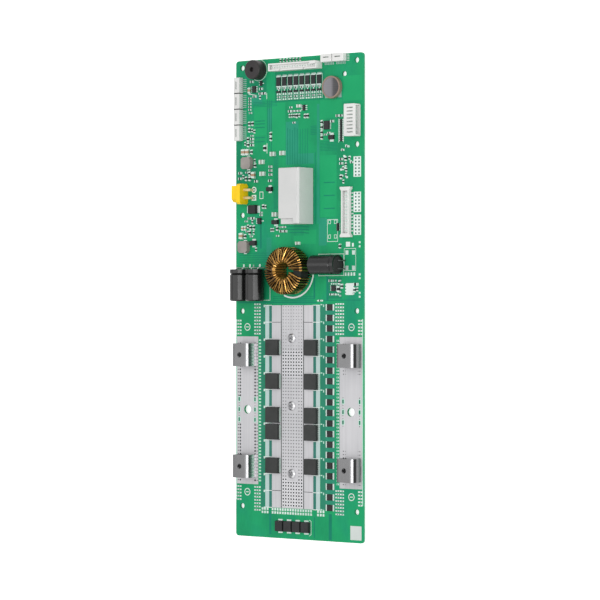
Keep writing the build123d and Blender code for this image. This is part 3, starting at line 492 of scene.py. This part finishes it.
def cell_finish():
    """A steel cap with fine lines, with painted light on its left side and painted shade on its
    right.
    """
    lo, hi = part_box("backup_cell")
    made = Finish("cell_steel", 0.42, 0.1)
    lines = made.noise(2600, 3.0, 0.6, (0.03, 1, 1))
    # Painted light and shade across the cap: pale on its left side, dark on its right.
    across = made.spread(made.place(0), lo.x, hi.x)
    tone = made.ramp(across, (0.0, srgb(130, 128, 132)), (0.5, srgb(120, 118, 123)),
                     (0.66, srgb(52, 52, 54)), (0.9, srgb(34, 34, 36)))
    drawn = made.ramp(lines, (0.3, srgb(60, 60, 62)), (0.7, srgb(160, 158, 162)))
    made.colour(made.mix(0.1, tone, drawn))
    made.rough(lines, 0.36, 0.5)
    made.bump(lines, 0.1)
    return made.mat


def lead_finish():
    """Tinned wire, darker from the right capacitor on."""
    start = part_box("capacitor_right")[0].x
    made = Finish("capacitor_lead", 0.4, 0.3)
    patch = made.noise(200, 3.0)
    bright = made.ramp(patch, (0.35, srgb(200, 203, 202)), (0.65, srgb(216, 219, 218)))
    dull = made.ramp(patch, (0.35, srgb(66, 70, 69)), (0.65, srgb(86, 90, 89)))
    made.colour(made.mix(made.within(start, start + 60 * MM), bright, dull))
    made.rough(patch, 0.34, 0.5)
    made.bump(patch, 0.1)
    return made.mat


def ceramic_finish():
    """Ceramic chips: tan along the left side of the board, a paler grey elsewhere."""
    made = Finish("chip_ceramic", 0.5, specular=0.3)
    slow = made.noise(110, 4.0)
    fine = made.noise(1400, 3.0, 0.6)
    tan = made.ramp(slow, (0.3, srgb(164, 132, 108)), (0.7, srgb(188, 160, 132)))
    pale = made.ramp(slow, (0.3, srgb(150, 158, 148)), (0.7, srgb(176, 180, 168)))
    made.colour(made.mix(made.between_columns(-1, 17), pale, tan))
    made.rough(fine, 0.44, 0.58)
    made.bump(fine, 0.2)
    return made.mat


# Short name, material, its two colours, roughness, grain, then bump, specular and metallic
plain_finishes = (
    ("trace", "mask_over_trace", (20, 122, 92), (26, 132, 108), 0.45, 900, 0.1, 0.1),
    ("trace_teal", "mask_over_ground", (44, 126, 102), (50, 136, 108), 0.45, 900, 0.1, 0.1),
    ("teal_light", "mask_blue_green", (38, 148, 114), (46, 154, 122), 0.45, 900, 0.1, 0.1),
    ("gap", "mask_in_gap", (54, 120, 104), (62, 126, 114), 0.45, 900, 0.1, 0.1),
    ("pour", "mask_over_pour", (30, 160, 103), (35, 167, 107), 0.45, 900, 0.1, 0.1),
    ("stage", "mask_in_stage", (44, 138, 110), (52, 146, 118), 0.45, 900, 0.1, 0.1),
    ("dim", "mask_dim", (24, 132, 94), (28, 140, 100), 0.45, 900, 0.1, 0.1),
    ("edge", "mask_edge", (176, 218, 200), (190, 226, 210), 0.5, 900),
    ("silk", "silk_ink", (220, 230, 225), (230, 238, 234), 0.6, 1400),
    ("plate", "plate_white", (200, 208, 204), (208, 216, 212), 0.6, 1400),
    # The via holes are flat dark discs: their dark is painted shade for the open holes.
    ("via", "via_hole", (20, 24, 24), (38, 42, 42), 0.7, 1200, 0.1, 0.1),
    ("well", "via_well", (40, 108, 86), (54, 122, 98), 0.6, 1200, 0.1, 0.1),
    ("seam", "field_seam", (92, 100, 98), (108, 116, 113), 0.6, 900, 0.1, 0.1),
    ("mould", "mould_black", (30, 32, 33), (44, 45, 46), 0.6, 1500, 0.25),
    ("mould_grey", "mould_grey", (42, 44, 43), (54, 55, 55), 0.6, 1500, 0.3),
    ("shunt_coat", "shunt_coat", (30, 30, 30), (44, 43, 43), 0.65, 1300, 0.3),
    ("buzzer", "buzzer_black", (40, 36, 38), (52, 50, 49), 0.5, 1400, 0.2),
    ("sleeve", "can_sleeve", (20, 20, 20), (28, 28, 28), 0.2, 700, 0.03, 0.42),
    ("bung", "bung_rubber", (38, 38, 38), (48, 48, 48), 0.8, 900, 0.3),
    ("yellow", "plug_yellow", (250, 204, 10), (254, 214, 18), 0.4, 1000, 0.12),
    ("gold", "pin_gold", (222, 200, 150), (238, 218, 172), 0.34, 800, 0.08, 0.3, 0.35),
    ("cell_brown", "cell_sleeve", (136, 114, 102), (158, 138, 124), 0.4, 900, 0.1),
    ("chip", "chip_dark", (24, 26, 28), (42, 43, 45), 0.6, 1500, 0.25),
    ("inductor", "inductor_grey", (142, 136, 132), (160, 154, 149), 0.65, 1300, 0.35),
    ("core", "core_powder", (20, 23, 19), (32, 36, 30), 0.7, 1100, 0.3),
)

# Short name, material, its two colours, roughness and metallic
tin_finishes = (
    ("tin", "tin", (184, 203, 195), (204, 219, 212), 0.42, 0.35),
    ("dull", "tin_dull", (136, 166, 156), (154, 182, 172), 0.5, 0.1),
    ("ring", "tin_ring", (216, 216, 219), (226, 226, 228), 0.45, 0.2),
)


def make_finishes():
    """Every finish, by its short name."""
    made = {key: plain_finish(*values) for key, *values in plain_finishes}
    made.update({key: tin_finish(*values) for key, *values in tin_finishes})
    made["mask"] = solder_mask_finish()
    made["field"] = field_finish()
    made["winding"] = winding_finish()
    made["terminal"] = terminal_finish()
    made["steel"] = screw_finish()
    made["cell"] = cell_finish()
    made["lead"] = lead_finish()
    made["ceramic"] = ceramic_finish()
    made["relay"] = shaded_plastic("relay_case", (206, 207, 206), (213, 213, 212), 0.5, 0.6)
    made["housing"] = shaded_plastic("housing_white", (220, 220, 218), (232, 232, 230))
    made["socket"] = shaded_plastic("socket_white", (216, 216, 214), (228, 228, 226),
                                    joints=socket_joints())
    return made


# The finish of each node; a node that isn't named here is tinned
node_finish = {
    "board": "mask", "tinned_fields": "field", "shunt_coats": "shunt_coat",
    "clamp_screws": "steel", "clamp_nuts": "steel",
    "choke_core": "core", "choke_winding": "winding", "relay_case": "relay",
    "buzzer_case": "buzzer", "backup_cell": "cell", "cell_sleeve": "cell_brown",
    "cell_tabs": "dull", "capacitor_left_outer": "sleeve", "capacitor_left_inner": "sleeve",
    "capacitor_right": "sleeve", "capacitor_bungs": "bung", "capacitor_leads": "lead",
    "power_plug": "yellow", "power_plug_pins": "gold",
    "sense_header": "housing", "side_header": "housing", "wide_socket": "housing",
    "top_socket_1": "housing", "top_socket_2": "housing",
    "balance_resistors": "chip", "chip_resistors": "chip", "chip_capacitors": "ceramic",
    "package_bodies": "mould", "inductor_upper": "inductor", "inductor_lower": "inductor",
}
node_finish.update({f"mosfet_{k:02d}": "mould_grey" for k in range(1, 11)})
node_finish.update({f"left_socket_{k}": "socket" for k in (1, 2, 3, 4)})
node_finish.update({f"terminal_{side}_{end}": "terminal"
                    for side in ("left", "right") for end in ("upper", "lower")})


def dress_nodes(finish):
    for name, node in nodes.items():
        look = finish[node_finish.get(name, "tin")]
        if not node.material_slots:
            node.data.materials.append(look)
        for place in node.material_slots:
            place.material = look


# ---------------------------------------------------------------- what lies on the board

class Layer:
    """Many small closed shapes of one finish, gathered into one piece."""

    def __init__(self, name, finish, slot, thickness):
        self.name, self.finish, self.slot = name, finish, slot
        self.thickness = thickness
        self.bm = bmesh.new()
        self.made = 0

    def prism(self, points, thickness=None, base=surface, shrink=1.0):
        """A closed prism over a flat outline; shrink below 1 draws its top in.

        Tops differ by a hair, so that no two that cross lie in one plane.
        """
        rise = self.thickness if thickness is None else thickness
        high = base + rise + self.made % hair_steps * hair
        self.made += 1
        middle = sum((Vector(p) for p in points), Vector((0, 0))) / len(points)
        lower = [self.bm.verts.new((x, y, base)) for x, y in points]
        drawn = [middle + (Vector(p) - middle) * shrink for p in points]
        upper = [self.bm.verts.new((x, y, high)) for x, y in drawn]
        self.bm.faces.new(list(reversed(lower)))
        self.bm.faces.new(upper)
        for i in range(len(points)):
            j = (i + 1) % len(points)
            self.bm.faces.new((lower[i], lower[j], upper[j], upper[i]))

    def block(self, x0, y0, x1, y1, **more):
        """A rectangle by its lowest and highest corner, in metres."""
        self.prism([(x0, y0), (x1, y0), (x1, y1), (x0, y1)], **more)

    def rect(self, across, down, wide, long, **more):
        """A rectangle by its middle and its size."""
        c = spot(across, down)
        x, y = wide * MM / 2, long * MM / 2
        self.block(c.x - x, c.y - y, c.x + x, c.y + y, **more)

    def area(self, left, upper, right, lower, **more):
        """A rectangle by its four sides."""
        self.rect((left + right) / 2, (upper + lower) / 2, right - left, lower - upper, **more)

    def disc(self, across, down, radius, sides=10, **more):
        c = spot(across, down)
        steps = [2 * pi * k / sides for k in range(sides)]
        self.prism([(c.x + radius * MM * cos(a), c.y + radius * MM * sin(a)) for a in steps],
                   **more)

    def line(self, route, width):
        """A track along a route, each run a strip with square ends."""
        for (u0, v0), (u1, v1) in zip(route, route[1:]):
            a, b = spot(u0, v0).xy, spot(u1, v1).xy
            way = (b - a).normalized() * width * MM / 2
            side = Vector((-way.y, way.x))
            self.prism([tuple(a - way - side), tuple(b + way - side),
                        tuple(b + way + side), tuple(a - way + side)])

    def bundle(self, count, start, end, step, width):
        """Straight tracks side by side, each moved on by a step."""
        for k in range(count):
            across, down = step[0] * k, step[1] * k
            self.line([(start[0] + across, start[1] + down), (end[0] + across, end[1] + down)],
                      width)

    def frame(self, left, upper, right, lower, width):
        """The outline of a rectangle."""
        self.area(left, upper, right, upper + width)
        self.area(left, lower - width, right, lower)
        self.area(left, upper + width, left + width, lower - width)
        self.area(right - width, upper + width, right, lower - width)

    def arc(self, across, down, radius, width, start=0, end=360, steps=36):
        """Part of a ring, from one angle to another, in degrees."""
        c = spot(across, down)
        inner, outer = (radius - width / 2) * MM, (radius + width / 2) * MM
        for k in range(steps):
            a = (start + (end - start) * k / steps) * pi / 180
            b = (start + (end - start) * (k + 1) / steps) * pi / 180
            self.prism([(c.x + inner * cos(a), c.y + inner * sin(a)),
                        (c.x + outer * cos(a), c.y + outer * sin(a)),
                        (c.x + outer * cos(b), c.y + outer * sin(b)),
                        (c.x + inner * cos(b), c.y + inner * sin(b))])

    def close(self):
        """Turn what was gathered into a piece of the board."""
        bmesh.ops.recalc_face_normals(self.bm, faces=self.bm.faces)
        mesh = bpy.data.meshes.new(self.name)
        self.bm.to_mesh(mesh)
        self.bm.free()
        mesh.materials.append(self.finish)
        piece = bpy.data.objects.new(self.name, mesh)
        bpy.context.scene.collection.objects.link(piece)
        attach(piece, "root")


def islands(node):
    """Lowest and highest corner of each separate solid in a node."""
    mesh = nodes[node].data
    spots = {}
    parent = []
    which = []
    for v in mesh.vertices:
        key = tuple(round(c * 1e6) for c in v.co)
        if key not in spots:
            spots[key] = len(parent)
            parent.append(len(parent))
        which.append(spots[key])

    def find(i):
        while parent[i] != i:
            parent[i] = parent[parent[i]]
            i = parent[i]
        return i

    for face in mesh.polygons:
        ids = [which[i] for i in face.vertices]
        for other in ids[1:]:
            parent[find(other)] = find(ids[0])
    found = {}
    for v, i in zip(mesh.vertices, which):
        lo, hi = found.setdefault(find(i), [Vector(v.co), Vector(v.co)])
        for axis in range(3):
            lo[axis] = min(lo[axis], v.co[axis])
            hi[axis] = max(hi[axis], v.co[axis])
    return [found[key] for key in sorted(found)]


def cap_chips(caps, solder):
    """Tinned ends on each chip, and a sloping solder fillet that runs down to its pad."""
    cap_proud = 0.03 * MM
    fillet_l = 0.45 * MM
    fillet_side = 0.12 * MM
    fillet_rise = 0.45
    cap_share = {"chip_resistors": 0.24, "chip_capacitors": 0.26, "balance_resistors": 0.06}
    for node, share in cap_share.items():
        for lo, hi in islands(node):
            along = 0 if hi.x - lo.x > hi.y - lo.y else 1
            other = 1 - along
            length = hi[along] - lo[along]
            height = hi.z - surface
            for side in (-1, 1):
                end = hi[along] if side > 0 else lo[along]
                inner = end - side * share * length
                low, high = [0, 0], [0, 0]
                low[along], high[along] = sorted((inner, end + side * cap_proud))
                low[other], high[other] = lo[other] - cap_proud, hi[other] + cap_proud
                caps.block(*low, *high, thickness=height + cap_proud)
                low[along], high[along] = sorted((inner, end + side * fillet_l))
                low[other], high[other] = lo[other] - fillet_side, hi[other] + fillet_side
                solder.block(*low, *high, thickness=height * fillet_rise, shrink=0.8)


def pad_feet(solder, dull):
    """A tinned pad under each foot of the small packages and the sockets."""
    grow = 0.22 * MM
    for node in ("package_leads", "left_socket_contacts", "top_socket_contacts",
                 "side_header_contacts"):
        layer = solder if node == "package_leads" else dull
        for lo, hi in islands(node):
            if node == "left_socket_contacts":
                lo, hi = Vector((hi.x - 0.3 * MM, lo.y)), Vector((hi.x + 2.2 * MM, hi.y))
            if node == "top_socket_contacts":
                lo, hi = Vector((lo.x, lo.y - 1.2 * MM)), Vector((hi.x, lo.y + 0.3 * MM))
            layer.block(lo.x - grow, lo.y - grow / 2, hi.x + grow, hi.y + grow / 2,
                        thickness=pad_t)


# ---------------------------------------------------------------- power stage

def bar_row(k):
    """Middle of a row of pads along the power stage."""
    return bar_start + bar_pitch * k


# How a dot on the tinned fields is made
on_field = dict(sides=8, base=field_top, thickness=mark_t)


def stage_pads(solder, vias, wells, edge):
    """Bare pads with via holes at both ends of the power stage, and covered ones between."""
    half = 0.46
    foot_pitch = 2.04
    on_pad = dict(sides=6, base=surface + pad_t, thickness=mark_t)
    upper = [bar_row(k) for k in range(10)]
    lower = [bar_row(k) for k in range(56, 64)]
    for down in upper + lower:
        solder.area(14.8, down - half, 19.9, down + half)
        solder.area(78.8, down - half, 85.3, down + half)
        for across in (16.4, 18.1, 80.2, 81.8, 83.9):
            vias.disc(across, down, 0.4, **on_pad)
    for down in upper[5:] + lower[:5]:
        solder.area(0.6, down - half, 4.4, down + half)
        solder.area(96.1, down - half, 99.4, down + half)
        for across in (1.3, 2.8, 98.0):
            vias.disc(across, down, 0.34, **on_pad)
    for k in range(11, 55):
        down = bar_row(k)
        edge.area(18.5, down - 0.5, 20.2, down + 0.5)
        edge.area(79.6, down - 0.5, 82.4, down + 0.5)
        for across in (80.3, 81.7):
            wells.disc(across, down, 0.34, 6, thickness=trace_t + mark_t)
    for first, last in ((20.4, 60.9), (64.2, 70.6)):
        count = round((last - first) / foot_pitch)
        for k in range(count):
            across = first + (k + 0.5) * (last - first) / count
            by_wide_track = 26.9 < across < 29.4
            if by_wide_track:
                continue
            for down in (282.0, 284.1):
                solder.rect(across, down, 1.35, 1.5)


def stage_zones(teal, stage, gap, seam, bridges, solder, edge, vias):
    """Tinted mask, what lies between the tinned fields, and the marks at each transistor row.

    Gives back where the strip's two seams lie.
    """
    lift = field_top - surface
    row_start, row_pitch = 154.4, 10.55
    teal.area(20.2, stage_top, 23.2, stage_foot)
    teal.area(67.2, stage_top, 71.2, stage_foot)
    stage.area(71.2, stage_top, 78.4, stage_foot)
    fields = sorted(islands("tinned_fields"), key=lambda box: box[0].x)[1:-1]
    at_source, at_strip = (gap, trace_t), (seam, lift * 0.9)
    for one, other, (layer, rise) in zip(fields, fields[1:],
                                         (at_source, at_strip, at_strip, at_source)):
        layer.block(one[1].x, one[0].y, other[0].x, one[1].y, thickness=rise)
    for k in range(13):
        down = row_start + row_pitch * k
        for left, right in ((23.4, 29.0), (61.2, 66.8)):
            bridges.area(left, down - 0.2, right, down + 0.2, thickness=lift + silk_t)
        solder.rect(22.9, down + 0.5, 1.1, 1.4)
        edge.rect(67.9, down - 0.3, 1.4, 0.7)
        edge.rect(69.6, down + 0.4, 0.8, 1.5)
    for down in (165.0, 270.3):
        for left, right in ((29.2, 36.0), (54.4, 61.2)):
            vias.area(left, down - 0.16, right, down + 0.16, base=field_top, thickness=mark_t)
    strip = fields[2]
    return [(fields[1][1].x + strip[0].x) / 2, (strip[1].x + fields[3][0].x) / 2]


def strip_holes(seams, vias, rings):
    """The strip's grid of holes, ringed and large in two stretches, and dots along its seams."""
    hole_t = 0.016 * MM
    ring_r, large_r, small_r, faint_r, dot_r = 0.98, 0.62, 0.38, 0.26, 0.34
    column_start, column_pitch = 38.0, 2.07
    clear_down, clear_across = 3.9, 4.2
    seam_start = 164.4
    for row in range(-13, 49):
        down = hole_start + hole_pitch * row
        ringed = 182.5 < down < 199.0 or 262.0 < down < 280.5
        radius = large_r if ringed else small_r if row >= 0 else faint_r
        by_screw = any(abs(down - screw) < clear_down for screw in screw_rows)
        for column in range(8):
            across = column_start + column * column_pitch
            if by_screw and abs(across - screw_across) < clear_across:
                continue
            if ringed:
                rings.disc(across, down, ring_r, **on_field)
            vias.disc(across, down, radius, 8, base=field_top, thickness=hole_t)
    for x in seams:
        across = (x - board_lo.x) / MM
        for row in range(115):
            vias.disc(across, seam_start + row * hole_pitch / 2, dot_r, **on_field)


def pole_holes(vias, wells, edge):
    """Holes along both sides of the pole fields, and the slots at their middle."""
    columns = ((1.9, 0.38), (3.5, 0.6), (15.5, 0.64), (17.1, 0.38), (84.9, 0.36), (86.4, 0.24),
               (96.2, 0.24), (97.5, 0.36))
    for k in range(12, 55):
        down = bar_row(k)
        by_slots = 211.5 < down < 228.5
        if by_slots:
            continue
        right_side_too = down < 198 or down > 244
        for across, radius in columns:
            if across < 50 or right_side_too:
                vias.disc(across, down, radius, **on_field)
    for down in (213.6, 220.0, 226.4):
        for across in (2.6, 15.4, 84.6, 97.3):
            for shift in (-0.7, 0.0, 0.7):
                edge.disc(across + 0.1, down + shift, 1.15, 14, base=field_top,
                          thickness=trace_t / 2)
                wells.disc(across, down + shift, 0.62, 12, base=field_top, thickness=trace_t)
            for side in (-1.9, 1.9):
                vias.disc(across, down + 1.2 * side, 0.3, **on_field)
    edge.area(99.25, 163.0, 99.85, 277.0)
    edge.area(0.1, 163.0, 0.55, 277.0)


# ---------------------------------------------------------------- printed marks and bare pads

def outlines(silk, plate):
    """Outlines round the large parts, the label field, and the marks of the poles."""
    silk.arc(45.4, 133.4, 16.3, 1.0, 245, 352, 44)
    silk.arc(18.4, 6.6, 6.6, 0.25, steps=48)
    silk.frame(65.6, 122.8, 85.2, 136.4, 0.3)
    silk.frame(72.4, 101.6, 80.6, 115.4, 0.3)
    silk.frame(85.4, 119.6, 94.4, 133.4, 0.25)
    silk.line([(27.4, 143), (27.4, 151.2), (22, 151.2)], 0.3)
    silk.line([(58.6, 287.6), (59.9, 288.4), (59.9, 296.4), (58.6, 297.4)], 0.3)
    plate.area(90.2, 289.6, 98.7, 298.2)
    for across in (9.2, 91.0):
        for down in (168.0, 272.0):
            silk.arc(across, down, 2.1, 0.5, steps=28)
            silk.rect(across, down, 2.2, 0.5)
    for down in (103.2, 112.2):
        for across in (74.2, 78.8):
            silk.frame(across - 1.0, down - 1.2, across + 1.0, down + 1.2, 0.3)


def right_footprints(silk, solder, dull, wells):
    """Bare footprints along the right side, with three blocks of holes, and round the choke."""
    for down in (122.2, 131.6):
        for across in (87.6, 92.6):
            solder.rect(across, down, 2.2, 2.6)
    silk.area(87.0, 141.0, 92.4, 148.2)
    for k in range(4):
        solder.rect(86.6 + 2.2 * k, 135.4, 1.3, 2.0)
        for across in (86.8, 92.6):
            silk.disc(across, 142.0 + 1.8 * k, 0.62)
    silk.area(86.8, 115.6, 90.0, 118.6)
    silk.area(91.4, 116.4, 92.8, 118.6)
    for down in (116.0, 118.5, 135.7, 138.0, 147.0, 149.3):
        solder.rect(97.3, down, 1.3, 1.2)
    pitch, count = 2.05, 6
    for start in (64.6, 86.2, 100.2):
        silk.area(92.6, start - 1.1, 98.3, start + pitch * (count - 1) + 1.1)
        for k in range(count):
            for across in (94.3, 96.8):
                wells.disc(across, start + pitch * k, 0.6, 12, base=surface + silk_t,
                           thickness=mark_t)
    for k in range(5):
        solder.rect(87.0, 0.6 + 0.95 * k, 4.8, 0.5)
    for across, down in ((84.0, 59.0), (87.0, 56.6), (88.8, 57.2), (85.6, 63.0), (89.8, 63.6),
                         (85.8, 70.2), (87.6, 76.0), (84.0, 75.0), (90.6, 66.4), (83.2, 71.2)):
        solder.rect(across, down, 1.5, 1.2)
    for k in range(3):
        solder.rect(65.2 + 1.7 * k, 151.6, 1.2, 0.9)
    for across in (6.3, 11.3, 19.2):
        solder.rect(across, 129.6, 1.2, 2.2)
    dull.rect(14.2, 129.8, 1.0, 2.0)
    for k in range(5):
        dull.rect(82.4, 139.4 + 2.3 * k, 1.6, 1.0)
    for across in (75.8, 77.5, 79.2, 80.9):
        for down in (141.3, 147.9):
            solder.rect(across, down, 1.0, 0.9)


def ringed_hole(white, dark, across, down, radius, square=False):
    """A printed pad with a dark ring and a pale middle."""
    if square:
        white.rect(across, down, 2 * radius, 2 * radius)
    else:
        white.disc(across, down, radius, 20)
    above = surface + silk_t
    dark.disc(across, down, radius * 0.62, 16, base=above, thickness=mark_t)
    white.disc(across, down, radius * 0.32, 12, base=above, thickness=2 * mark_t)


def upper_marks(silk, solder, dull, wells):
    """Marks and pads round the bleed resistors and along the upper half of the board."""
    silk.line([(10.4, 21.2), (16.2, 22.2)], 0.4)
    for k in range(8):
        across = 34.4 + 4.57 * k
        dull.rect(across, 10.9, 3.3, 1.0)
        dull.rect(across, 18.0, 3.3, 0.6)
        silk.area(across + 2.15, 11.0, across + 2.35, 26.4)
        for down, long in ((22.6, 1.0), (25.8, 0.9)):
            for side in (-0.9, 0.9):
                solder.rect(across + side, down, 1.2, long)
    for across, upper, lower, width in ((81.2, 40.0, 54.4, 0.25), (84.8, 40.0, 54.4, 0.25),
                                        (25.0, 53.0, 59.0, 0.4), (24.8, 21.5, 24.8, 0.4)):
        silk.line([(across, upper), (across, lower)], width)
    ringed_hole(silk, wells, 14.5, 81.7, 2.0)
    ringed_hole(silk, wells, 14.5, 86.7, 1.8, True)
    silk.frame(19.0, 83.0, 22.0, 87.5, 0.4)


# ---------------------------------------------------------------- copper under the mask

def mask_areas(teal_light, pour, dim):
    """Areas where the mask looks lighter, bluer or darker than the rest."""
    areas = (
        (teal_light, ((40.0, 40.0, 50.0, 66.8), (50.0, 60.2, 62.0, 66.8),
                      (65.8, 100.6, 72.0, 117.6), (13.0, 22.4, 21.0, 28.0),
                      (25.4, 31.0, 29.2, 45.0), (24.6, 112.0, 28.6, 124.0),
                      (64.4, 30.0, 66.4, 104.0))),
        (pour, ((29.0, 27.8, 39.6, 58.0), (14.6, 29.0, 24.0, 47.6), (67.0, 28.0, 84.0, 39.0),
                (84.6, 13.8, 99.2, 29.2), (46.0, 111.2, 63.8, 116.4), (54.0, 107.6, 63.8, 111.2),
                (67.0, 62.0, 79.6, 100.0))),
        (dim, ((0.7, 50.6, 4.6, 77.4), (4.6, 66.8, 17.2, 76.8), (31.4, 8.8, 70.4, 27.4),
               (8.8, 11.6, 24.6, 21.8), (73.4, 137.6, 83.6, 150.4))),
    )
    for layer, sides in areas:
        for four in sides:
            layer.area(*four)


def tracks(track):
    """Tracks under the mask, in bundles as they leave each group of parts."""
    for k in range(5):
        across = 41.4 + 1.9 * k
        track.line([(across, 44.0 + 0.8 * (k % 3)), (across, 66.5)], 0.5)
    track.bundle(4, (51.4, 45.0), (51.4, 66.5), (1.9, 0), 0.4)
    for k in range(3):
        across = 25.5 + 1.5 * k
        track.line([(across, 26.0), (across, 52.0 + 3 * k)], 0.45)
    track.bundle(6, (59.6, 43.6), (64.0, 43.6), (0, 1.0), 0.4)
    track.line([(63.2, 60.0), (63.2, 104.0)], 0.6)
    track.bundle(7, (67.0, 53.6), (80.0, 53.6), (0, 0.9), 0.3)
    for k in range(3):
        down = 105.4 + 1.9 * k
        track.line([(40.0 + 1.5 * k, down), (52.0, down), (58.0, down + 0.5)], 0.55)
    track.bundle(5, (3.0, 121.6), (26.0, 121.6), (0, 1.4), 0.35)
    track.bundle(5, (30.6, 60.0), (30.6, 94.0), (0.8, 0), 0.35)
    track.bundle(3, (70.0, 78.8), (78.0, 78.8), (0, 8.0), 0.6)
    track.bundle(4, (14.0, 26.8), (33.0, 26.8), (0, 0.9), 0.3)
    for down in (38.6, 40.4, 42.6, 49.0, 51.6):
        track.line([(15.6, down), (23.0, down)], 0.55)
    track.line([(20.0, 100.0), (20.0, 118.0)], 1.4)
    track.line([(62.4, 138.0), (62.4, 150.0)], 1.2)
    track.line([(72.6, 137.0), (72.6, 151.0)], 1.6)
    track.line([(2.0, 152.6), (64.0, 152.6)], 0.7)
    track.line([(66.0, 151.4), (98.0, 151.4)], 0.5)
    track.bundle(3, (30.0, 149.0), (62.0, 149.0), (0, 1.2), 0.35)
    track.line([(27.6, 285.6), (27.6, 297.0)], 1.6)
    track.line([(74.8, 284.4), (74.8, 298.0)], 2.4)
    track.line([(62.4, 286.0), (62.4, 298.0)], 0.8)


# Piece, finish, slot and thickness of each layer
layer_list = (
    ("mask_tracks", "trace", "solder_mask", trace_t),
    ("mask_zones", "trace_teal", "solder_mask", trace_t),
    ("mask_blue_green", "teal_light", "solder_mask", trace_t * 0.5),
    ("mask_dim", "dim", "solder_mask", trace_t * 0.4),
    ("mask_gaps", "gap", "solder_mask", trace_t),
    ("field_seams", "seam", "solder_mask", trace_t),
    ("mask_stage", "stage", "solder_mask", trace_t * 0.6),
    ("mask_pours", "pour", "solder_mask", trace_t * 0.8),
    ("mask_edges", "edge", "solder_mask", trace_t * 1.7),
    ("silk_marks", "silk", None, silk_t),
    ("silk_plate", "plate", None, silk_t),
    ("silk_bridges", "silk", None, silk_t),
    ("solder_pads", "tin", "tin", pad_t),
    ("dull_pads", "dull", "tin", pad_t * 0.8),
    ("chip_caps", "tin", "tin", pad_t),
    ("via_rings", "ring", "tin", mark_t),
    ("via_holes", "via", "solder_mask", mark_t),
    ("via_wells", "well", "solder_mask", mark_t),
)


make_camera()
make_world()
make_lamp("key", (-0.15, 0.12, 1.6), (2.0, 2.0), 13.8)
make_lamp("right", (1.42, -0.15, 1.05), (0.45, 2.1), 14.0)

finish = make_finishes()
dress_nodes(finish)

layers = [Layer(name, finish[look], slot, thickness) for name, look, slot, thickness in layer_list]
(track, teal, teal_light, dim, gap, seam, stage, pour, edge, silk, plate, bridges, solder, dull,
 caps, rings, vias, wells) = layers

mask_areas(teal_light, pour, dim)
tracks(track)
stage_pads(solder, vias, wells, edge)
seams = stage_zones(teal, stage, gap, seam, bridges, solder, edge, vias)
strip_holes(seams, vias, rings)
pole_holes(vias, wells, edge)
outlines(silk, plate)
right_footprints(silk, solder, dull, wells)
upper_marks(silk, solder, dull, wells)
cap_chips(caps, solder)
pad_feet(solder, dull)
for layer in layers:
    layer.close()

make_floor()

bpy.context.scene.view_settings.view_transform = "Standard"
